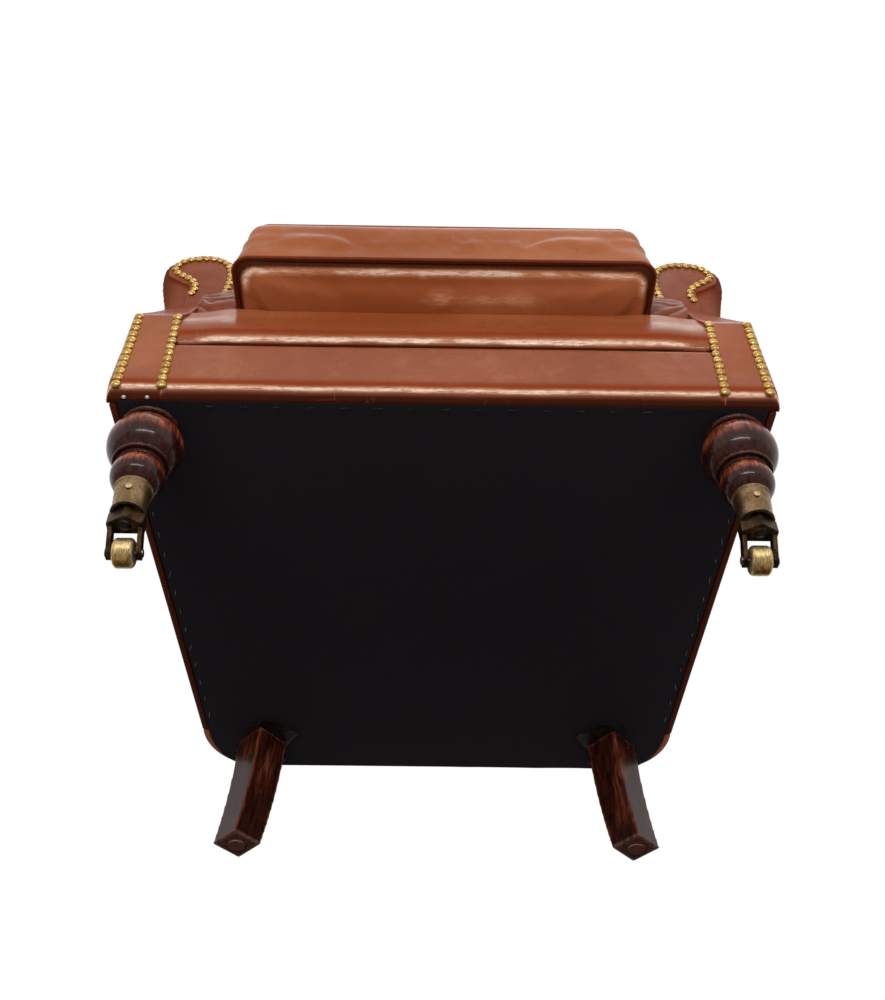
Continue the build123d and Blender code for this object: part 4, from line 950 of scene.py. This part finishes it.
class CHAIR_OT_cushion(bpy.types.Operator):
    """Makes the loose seat cushion: filled by simulation, then piped"""

    bl_idname = "chair.cushion"
    bl_label = "Seat Cushion"

    half_x, half_y, middle_y = 0.2434, 0.2762, -0.1185

    def execute(self, context):
        cushion = copy_of("cushion_hide", "seat_cushion")
        apply(cushion, "REMESH", mode="VOXEL", voxel_size=0.0055, adaptivity=0.0)
        apply(cushion, "SMOOTH", iterations=2, factor=0.5)
        restored(cushion, "seat_cushion", 0.0015)
        self.drawn_in(cushion)
        self.fill(context, cushion, context.scene.chair_cushion.swell)
        overhang(cushion)
        creased(cushion, 0.0007, 31, 0.06, (0.6, 1, 1), 0.0)
        piping = self.welt()
        self.worn(cushion)
        finish_piece(cushion, "seat_cushion", "leather", look("leather"), "seat_cushion")
        smooth_shade(cushion)
        finish_piece(piping, "seat_cushion", "leather", look("leather"), "cushion_piping")
        smooth_shade(piping)
        return {"FINISHED"}

    def drawn_in(self, cushion):
        """Raises the rim of the top, draws its edge in between full corners and relaxes the leather."""
        points = points_of(cushion)
        off_middle = np.abs(points[:, 0]) / self.half_x, np.abs(points[:, 1] - self.middle_y) / self.half_y
        points[:, 2] += 0.010 * step(0.44, 0.49, points[:, 2]) * np.maximum(*off_middle) ** 4
        rise = np.clip((points[:, 2] - 0.468) / 0.032, 0, 1)
        pull = 0.013 * (1 - np.sqrt(1 - rise**2))
        corner = np.ones(len(points))
        for axis, middle, half in ((0, 0.0, self.half_x), (1, self.middle_y, self.half_y)):
            reach = (points[:, axis] - middle) / half
            corner *= np.clip(np.abs(reach), 0, 1) ** 6
            points[:, axis] -= np.sign(reach) * pull * np.clip(np.abs(reach), 0, 1) ** 8
        spare = 0.006 * corner * (points[:, 2] < 0.46)
        points[:, 0] += np.sign(points[:, 0]) * spare
        points[:, 1] += np.sign(points[:, 1] - self.middle_y) * spare
        set_points(cushion, points)
        apply(cushion, "SMOOTH", iterations=3, factor=0.5)

    def welt(self):
        """Both welts of the cushion, the upper one drawn in and raised with the edge of the top."""
        piping = panel("cushion_welt", "cushion_piping", 0.0)
        points = points_of(piping)
        high = points[:, 2] > 0.45
        drawn_y = self.middle_y + (points[:, 1] - self.middle_y) * 0.958
        points[:, 0] *= np.where(high, 0.954, 1)
        points[:, 1] = np.where(high, drawn_y, points[:, 1])
        points[:, 2] += np.where(high, 0.0115, 0)
        set_points(piping, points)
        overhang(piping)
        points, normals = points_of(piping), normals_of(piping)
        # Painted shade on the lower welt, near-black on its underside
        low = step(0.45, 0.44, points[:, 2])
        paint(piping, deep=0.35 + 0.5 * low, fold=0.15 + 0.7 * low * step(0.1, -0.6, normals[:, 2]))
        return piping

    def worn(self, cushion):
        """Paints the cushion: painted light on its sides, painted light and some painted shade on the
        underside, a dark painted shade along the seam round the underside, a painted highlight behind its
        front, and scuffs with a painted sheen underneath.
        """
        points, normals = points_of(cushion), normals_of(cushion)
        half, front_y, bend = 0.2465 * front_spread(points[:, 1]), -0.398, 0.026
        inward = np.stack([half - np.abs(points[:, 0]), points[:, 1] - front_y], axis=1)
        rounded = bend - np.linalg.norm(bend - inward, axis=1)
        reach = np.where((inward < bend).all(axis=1), rounded, inward.min(axis=1))
        below = step(-0.2, -0.5, normals[:, 2]) * step(0.43, 0.415, points[:, 2])
        near_front = step(-0.34, -0.375, points[:, 1])
        # Painted highlight: a pale band just inside the front seam of the underside
        rubbed = 1.3 * bell(reach - 0.0125, 0.0055) * below * near_front
        rubbed *= 0.75 + 0.6 * noise(points, 0.05, 77, 3)
        # Random scuffs underneath, and a painted sheen patch behind the front
        scuffs_and_sheen = 0.3 * below * step(0.1, 0.6, noise(points, 0.05, 78, 3))
        scuffs_and_sheen += 0.4 * below * bell(points[:, 0] - 0.03, 0.10) * bell(points[:, 1] + 0.352, 0.009)
        # Painted light on the upright sides
        sides = (1 - np.abs(normals[:, 2])) * step(0.4, 0.41, points[:, 2])
        # Painted shade: a dark line along the seam round the underside
        paint(
            cushion, fold=below * step(0.0100, 0.006, reach), wear=rubbed + scuffs_and_sheen,
            pale=sides + 0.6 * below, deep=0.2 * below,
        )

    def fill(self, context, cushion, most):
        """Blows the cushion up against its seams, no further than it may swell."""
        start, outward = points_of(cushion), normals_of(cushion)
        pick(cushion)
        cloth = cushion.modifiers.new("cloth", "CLOTH")
        cloth.settings.use_pressure = True
        cloth.settings.uniform_pressure_force = 4
        cloth.settings.effector_weights.gravity = 0
        cloth.settings.quality = 4
        for number in range(1, 21):
            context.scene.frame_set(number)
        bpy.ops.object.modifier_apply(modifier=cloth.name)
        context.scene.frame_set(1)
        moved = points_of(cushion) - start
        reach = np.linalg.norm(moved, axis=1)
        kept = np.where((moved * outward).sum(axis=1) > 0, 1, 0.2)
        share = np.minimum(1, most / np.maximum(reach, 1e-9)) * kept
        set_points(cushion, start + moved * share[:, None])
        restored(cushion, "seat_cushion", 0.0015)
        apply(cushion, "SUBSURF", levels=1, render_levels=1)


class CHAIR_OT_back(bpy.types.Operator):
    """Covers the wings, the hood, the outside back and the buttoned inside back"""

    bl_idname = "chair.back"
    bl_label = "Wings, Hood and Back"

    def execute(self, context):
        panels = ["back_skirt", "outside_back", "hood_cover", "hood_border"]
        pads = ["hood_lining", "inside_back"]
        for side, hand in HANDS:
            panels.append(f"outside_wing_{hand}")
            pads.append(f"wing_lining_{hand}")
        for node in panels:
            piece = panel(f"{node}_hide", node, 0.003)
            if node.startswith("outside_wing"):
                self.tucked(piece)
            paint(piece)
            finish_piece(piece, "chair", "leather", look("leather"), node)
        for number, node in enumerate(pads):
            piece = skin(f"{node}_hide", node, 0.006, 2)
            if node == "inside_back":
                points = points_of(piece)
                pulled = np.zeros(len(points))
                for button in solids_of("back_buttons"):
                    distance = np.linalg.norm(points - button.mean(axis=0), axis=1)
                    pulled = np.maximum(pulled, bell(distance, 0.032))
                swell(piece, 0.007 * (1 - pulled) - 0.001)
            if node.startswith("wing_lining"):
                self.tucked(piece)
            creased(piece, 0.0012, 41 + number, 0.12, (1, 1, 0.6), 0.8)
            finish_piece(piece, "chair", "leather", look("leather"), node)
            smooth_shade(piece)
        return {"FINISHED"}

    def tucked(self, piece):
        """Runs the top of a wing's leather up behind the hood's, so that the seam shows no light."""
        points = points_of(piece)
        points[:, 2] += 0.0015 * step(1.120, 1.128, points[:, 2])
        set_points(piece, points)


class CHAIR_OT_nails(bpy.types.Operator):
    """Sets a domed brass nail at every nail of the frame"""

    bl_idname = "chair.nails"
    bl_label = "Nails"

    def execute(self, context):
        rise, usual_radius = context.scene.chair_nails.rise, 0.006
        for node, segments, rings in (
            ("front_nails", 20, 10), ("arm_nails", 20, 10), ("hood_nails", 12, 8), ("back_nails", 12, 8),
        ):
            heads = []
            for cloud in solids_of(node):
                middle = cloud.mean(axis=0)
                axis = np.linalg.svd(cloud - middle)[2][2]
                height = (cloud - middle) @ axis
                tolerance = 0.1 * np.ptp(height)
                if axis @ (middle - np.array((0, 0.2, min(middle[2], 1.1)))) < 0:
                    axis, height = -axis, -height
                ring = cloud[height < height.min() + tolerance]
                base = ring.mean(axis=0)
                radius = float(np.linalg.norm(ring - base, axis=1).max())
                heads.append((Vector(base), Vector(axis), radius))
            deselect()
            bpy.ops.mesh.primitive_uv_sphere_add(segments=segments, ring_count=rings, radius=1)
            pattern = context.object
            bpy.ops.object.mode_set(mode="EDIT")
            bpy.ops.mesh.select_all(action="SELECT")
            bpy.ops.mesh.bisect(plane_co=(0, 0, 0.02), plane_no=(0, 0, 1), clear_inner=True, use_fill=True)
            bpy.ops.object.mode_set(mode="OBJECT")
            # Painted shade round the foot of each dome
            attribute(pattern, "fold", 0.9 * step(0.42, 0.05, points_of(pattern)[:, 2]))
            copies = []
            for number, (place, axis, radius) in enumerate(heads):
                head = pattern.copy()
                head.data = pattern.data.copy()
                context.scene.collection.objects.link(head)
                turn = axis.to_track_quat("Z", "Y").to_matrix().to_4x4()
                wobble = 1 + 0.03 * math.sin(number * 12.9)
                size = Matrix.Diagonal((radius * wobble, radius * wobble, rise * (radius / usual_radius), 1))
                head.data.transform(Matrix.Translation(place) @ turn @ size)
                copies.append(head)
            bpy.data.objects.remove(pattern)
            pick(*copies)
            bpy.ops.object.join()
            nails = context.object
            nails.name = f"{node}_domes"
            finish_piece(nails, "chair", "nail_brass", look("nail_brass"), node)
            smooth_shade(nails, 50)
        return {"FINISHED"}


class CHAIR_OT_frame(bpy.types.Operator):
    """Finishes every CAD node that stays in view, and wears the legs where shoes and hands rub them, with a
    painted highlight along the sabre legs' edges
    """

    bl_idname = "chair.frame"
    bl_label = "Frame, Legs and Castors"

    def execute(self, context):
        dress_cad_nodes()
        leg_x, leg_y = 0.3275, -0.300
        for side, hand in HANDS:
            leg = copy_of(f"turning_{hand}", f"front_leg_{hand}")
            points, normals = points_of(leg), normals_of(leg)
            radius = np.hypot(points[:, 0] - side * leg_x, points[:, 1] - leg_y)
            rubbed = step(-0.22, 0.1, normals[:, 2]) * step(0.9, 0.5, normals[:, 2])
            rubbed *= step(0.024, 0.028, radius) * step(0.2, 0.18, points[:, 2])
            paint(leg, wear=rubbed * (1.1 + 0.6 * noise(points, 0.02, 5 + side, 3)))
            finish_piece(leg, "chair", "turned_wood", look("turned_wood"), f"front_leg_{hand}")
            smooth_shade(leg, 40)
            leg = skin(f"sabre_{hand}", f"rear_leg_{hand}", 0.0018, 5)
            points = points_of(leg)
            streak = noise(points * np.array((1, 1, 0.2)), 0.022, 15 + side, 2)
            # Rubbed edges of the sabre leg, with a painted highlight along them
            ridge_wear_and_highlight = np.clip(curvature(leg) * 1.6 - 0.55, 0, 0.8)
            middle = step(0.01, 0.05, points[:, 2]) * step(0.165, 0.12, points[:, 2])
            faces = 0.6 * step(0.0, 0.45, streak) * middle
            paint(leg, wear=np.maximum(ridge_wear_and_highlight, faces), pale=step(0.006, 0.003, points[:, 2]))
            finish_piece(leg, "chair", "turned_wood", look("sabre_wood"), f"rear_leg_{hand}")
            smooth_shade(leg, 40)
        return {"FINISHED"}


class CHAIR_OT_cover(bpy.types.Operator):
    """Stretches the black cloth under the seat and staples it down"""

    bl_idname = "chair.cover"
    bl_label = "Dust Cover"

    def execute(self, context):
        front, back = -0.3318, 0.2700
        across, along = 96, 80
        bpy.ops.mesh.primitive_grid_add(x_subdivisions=across, y_subdivisions=along, size=2)
        cloth = context.object
        cloth.name = "bottoming"
        unit = points_of(cloth)
        s, t = unit[:, 0], (unit[:, 1] + 1) / 2
        y = front + (back - front) * t
        half = self.half_width(y)
        waver = 0.0012 * noise(np.stack([s * half, y, 0 * y], axis=1), 0.05, 8, 2)
        rim = np.maximum(np.abs(s), np.abs(2 * t - 1)) ** 24
        x = s * half + waver * rim
        y = y + waver * rim * (np.abs(2 * t - 1) > 0.99)
        front_z, back_z, back_edge, cloth_z = 0.2039, 0.1659, 0.2624, 0.2036
        slope = (back_z - front_z) / (back_edge - FRONT_EDGE)
        sag = 0.0045 * (1 - s**2) * (1 - (2 * t - 1) ** 2)
        pucker = 0.0007 * noise(np.stack([x * 3, y * 0.6, 0 * y], axis=1), 0.09, 4, 3) * (1 - t) ** 2
        z = cloth_z + slope * (y - FRONT_EDGE) - sag + pucker - 0.0006 * (t < 0.02)
        set_points(cloth, np.stack([x, y, z], axis=1))
        apply(cloth, "SOLIDIFY", thickness=0.0009, offset=1)
        finish_piece(cloth, "chair", "dust_cloth", look("dust_cloth"), "dust_cover")
        smooth_shade(cloth, 40)
        self.staples(context, slope)
        for number, x in enumerate((-0.3545, -0.3285)):
            bpy.ops.mesh.primitive_uv_sphere_add(
                segments=16, ring_count=8, radius=0.0024, location=(x, -0.3365, 0.2047),
            )
            tack = context.object
            tack.name = f"tack_{number}"
            tack.scale = (1, 1, 0.5)
            bpy.ops.object.transform_apply(location=True, scale=True)
            finish_piece(tack, "chair", "glide_plastic", look("white_tack"))
            smooth_shade(tack)
        return {"FINISHED"}

    def half_width(self, y):
        """Half the cover's width at each distance from the front."""
        wide, narrow, flat, turn = 0.3625, 0.3095, 0.258, 0.2008
        straight = wide - (y - FRONT_EDGE) * (wide - narrow) / (turn - FRONT_EDGE)
        corner = np.sqrt(np.clip(1 - (np.clip(y - turn, 0, 0.0692) / 0.0693) ** 2, 0, 1))
        return np.where(y > turn, flat + (narrow - flat) * corner, straight)

    def staples(self, context, slope):
        """Short wire staples round the cover's edge."""
        wire_z = 0.2024
        spots = [(x, -0.3265, 0.0) for x in np.arange(-0.26, 0.261, 0.0375)]
        for side in (-1, 1):
            for y in np.arange(-0.235, 0.17, 0.031):
                spots.append((side * (float(self.half_width(np.array([y]))[0]) - 0.006), y, side * 1.4712))
        copies = []
        for number, (x, y, turn) in enumerate(spots):
            bpy.ops.mesh.primitive_cube_add(size=1, location=(x, y, wire_z + slope * (y - FRONT_EDGE)))
            staple = context.object
            staple.scale = (0.0085 + 0.002 * math.sin(number * 3.1), 0.0006, 0.0006)
            staple.rotation_euler = (0, 0, turn + 0.18 * math.sin(number * 7.7))
            copies.append(staple)
        pick(*copies)
        bpy.ops.object.join()
        staples = context.object
        staples.name = "staples"
        bpy.ops.object.transform_apply(location=True, rotation=True, scale=True)
        finish_piece(staples, "chair", "pin_steel", look("pin_steel"))


class CHAIR_PT_panel(bpy.types.Panel):
    """Lists the pieces of the chair"""

    bl_idname = "CHAIR_PT_panel"
    bl_label = "Porter Chair"
    bl_space_type = "VIEW_3D"
    bl_region_type = "UI"
    bl_category = "Porter Chair"

    def draw(self, context):
        for operator in OPERATORS:
            self.layout.operator(operator.bl_idname)


OPERATORS = (
    CHAIR_OT_stage,
    CHAIR_OT_frame,
    CHAIR_OT_cover,
    CHAIR_OT_front,
    CHAIR_OT_arms,
    CHAIR_OT_cushion,
    CHAIR_OT_back,
    CHAIR_OT_nails,
)
GROUPS = {
    "chair_leather": LeatherLook,
    "chair_cushion": CushionSize,
    "chair_nails": NailSize,
    "chair_stage": StageLook,
}
CLASSES = tuple(GROUPS.values()) + OPERATORS + (CHAIR_PT_panel,)


def register():
    for item in CLASSES:
        bpy.utils.register_class(item)
    for name, group in GROUPS.items():
        setattr(bpy.types.Scene, name, bpy.props.PointerProperty(type=group))


def unregister():
    for name in GROUPS:
        delattr(bpy.types.Scene, name)
    for item in reversed(CLASSES):
        bpy.utils.unregister_class(item)


def main():
    register()
    bpy.ops.chair.stage()
    bpy.ops.chair.frame()
    bpy.ops.chair.cover()
    bpy.ops.chair.front()
    bpy.ops.chair.arms()
    bpy.ops.chair.cushion()
    bpy.ops.chair.back()
    bpy.ops.chair.nails()


if __name__ == "__main__":
    main()
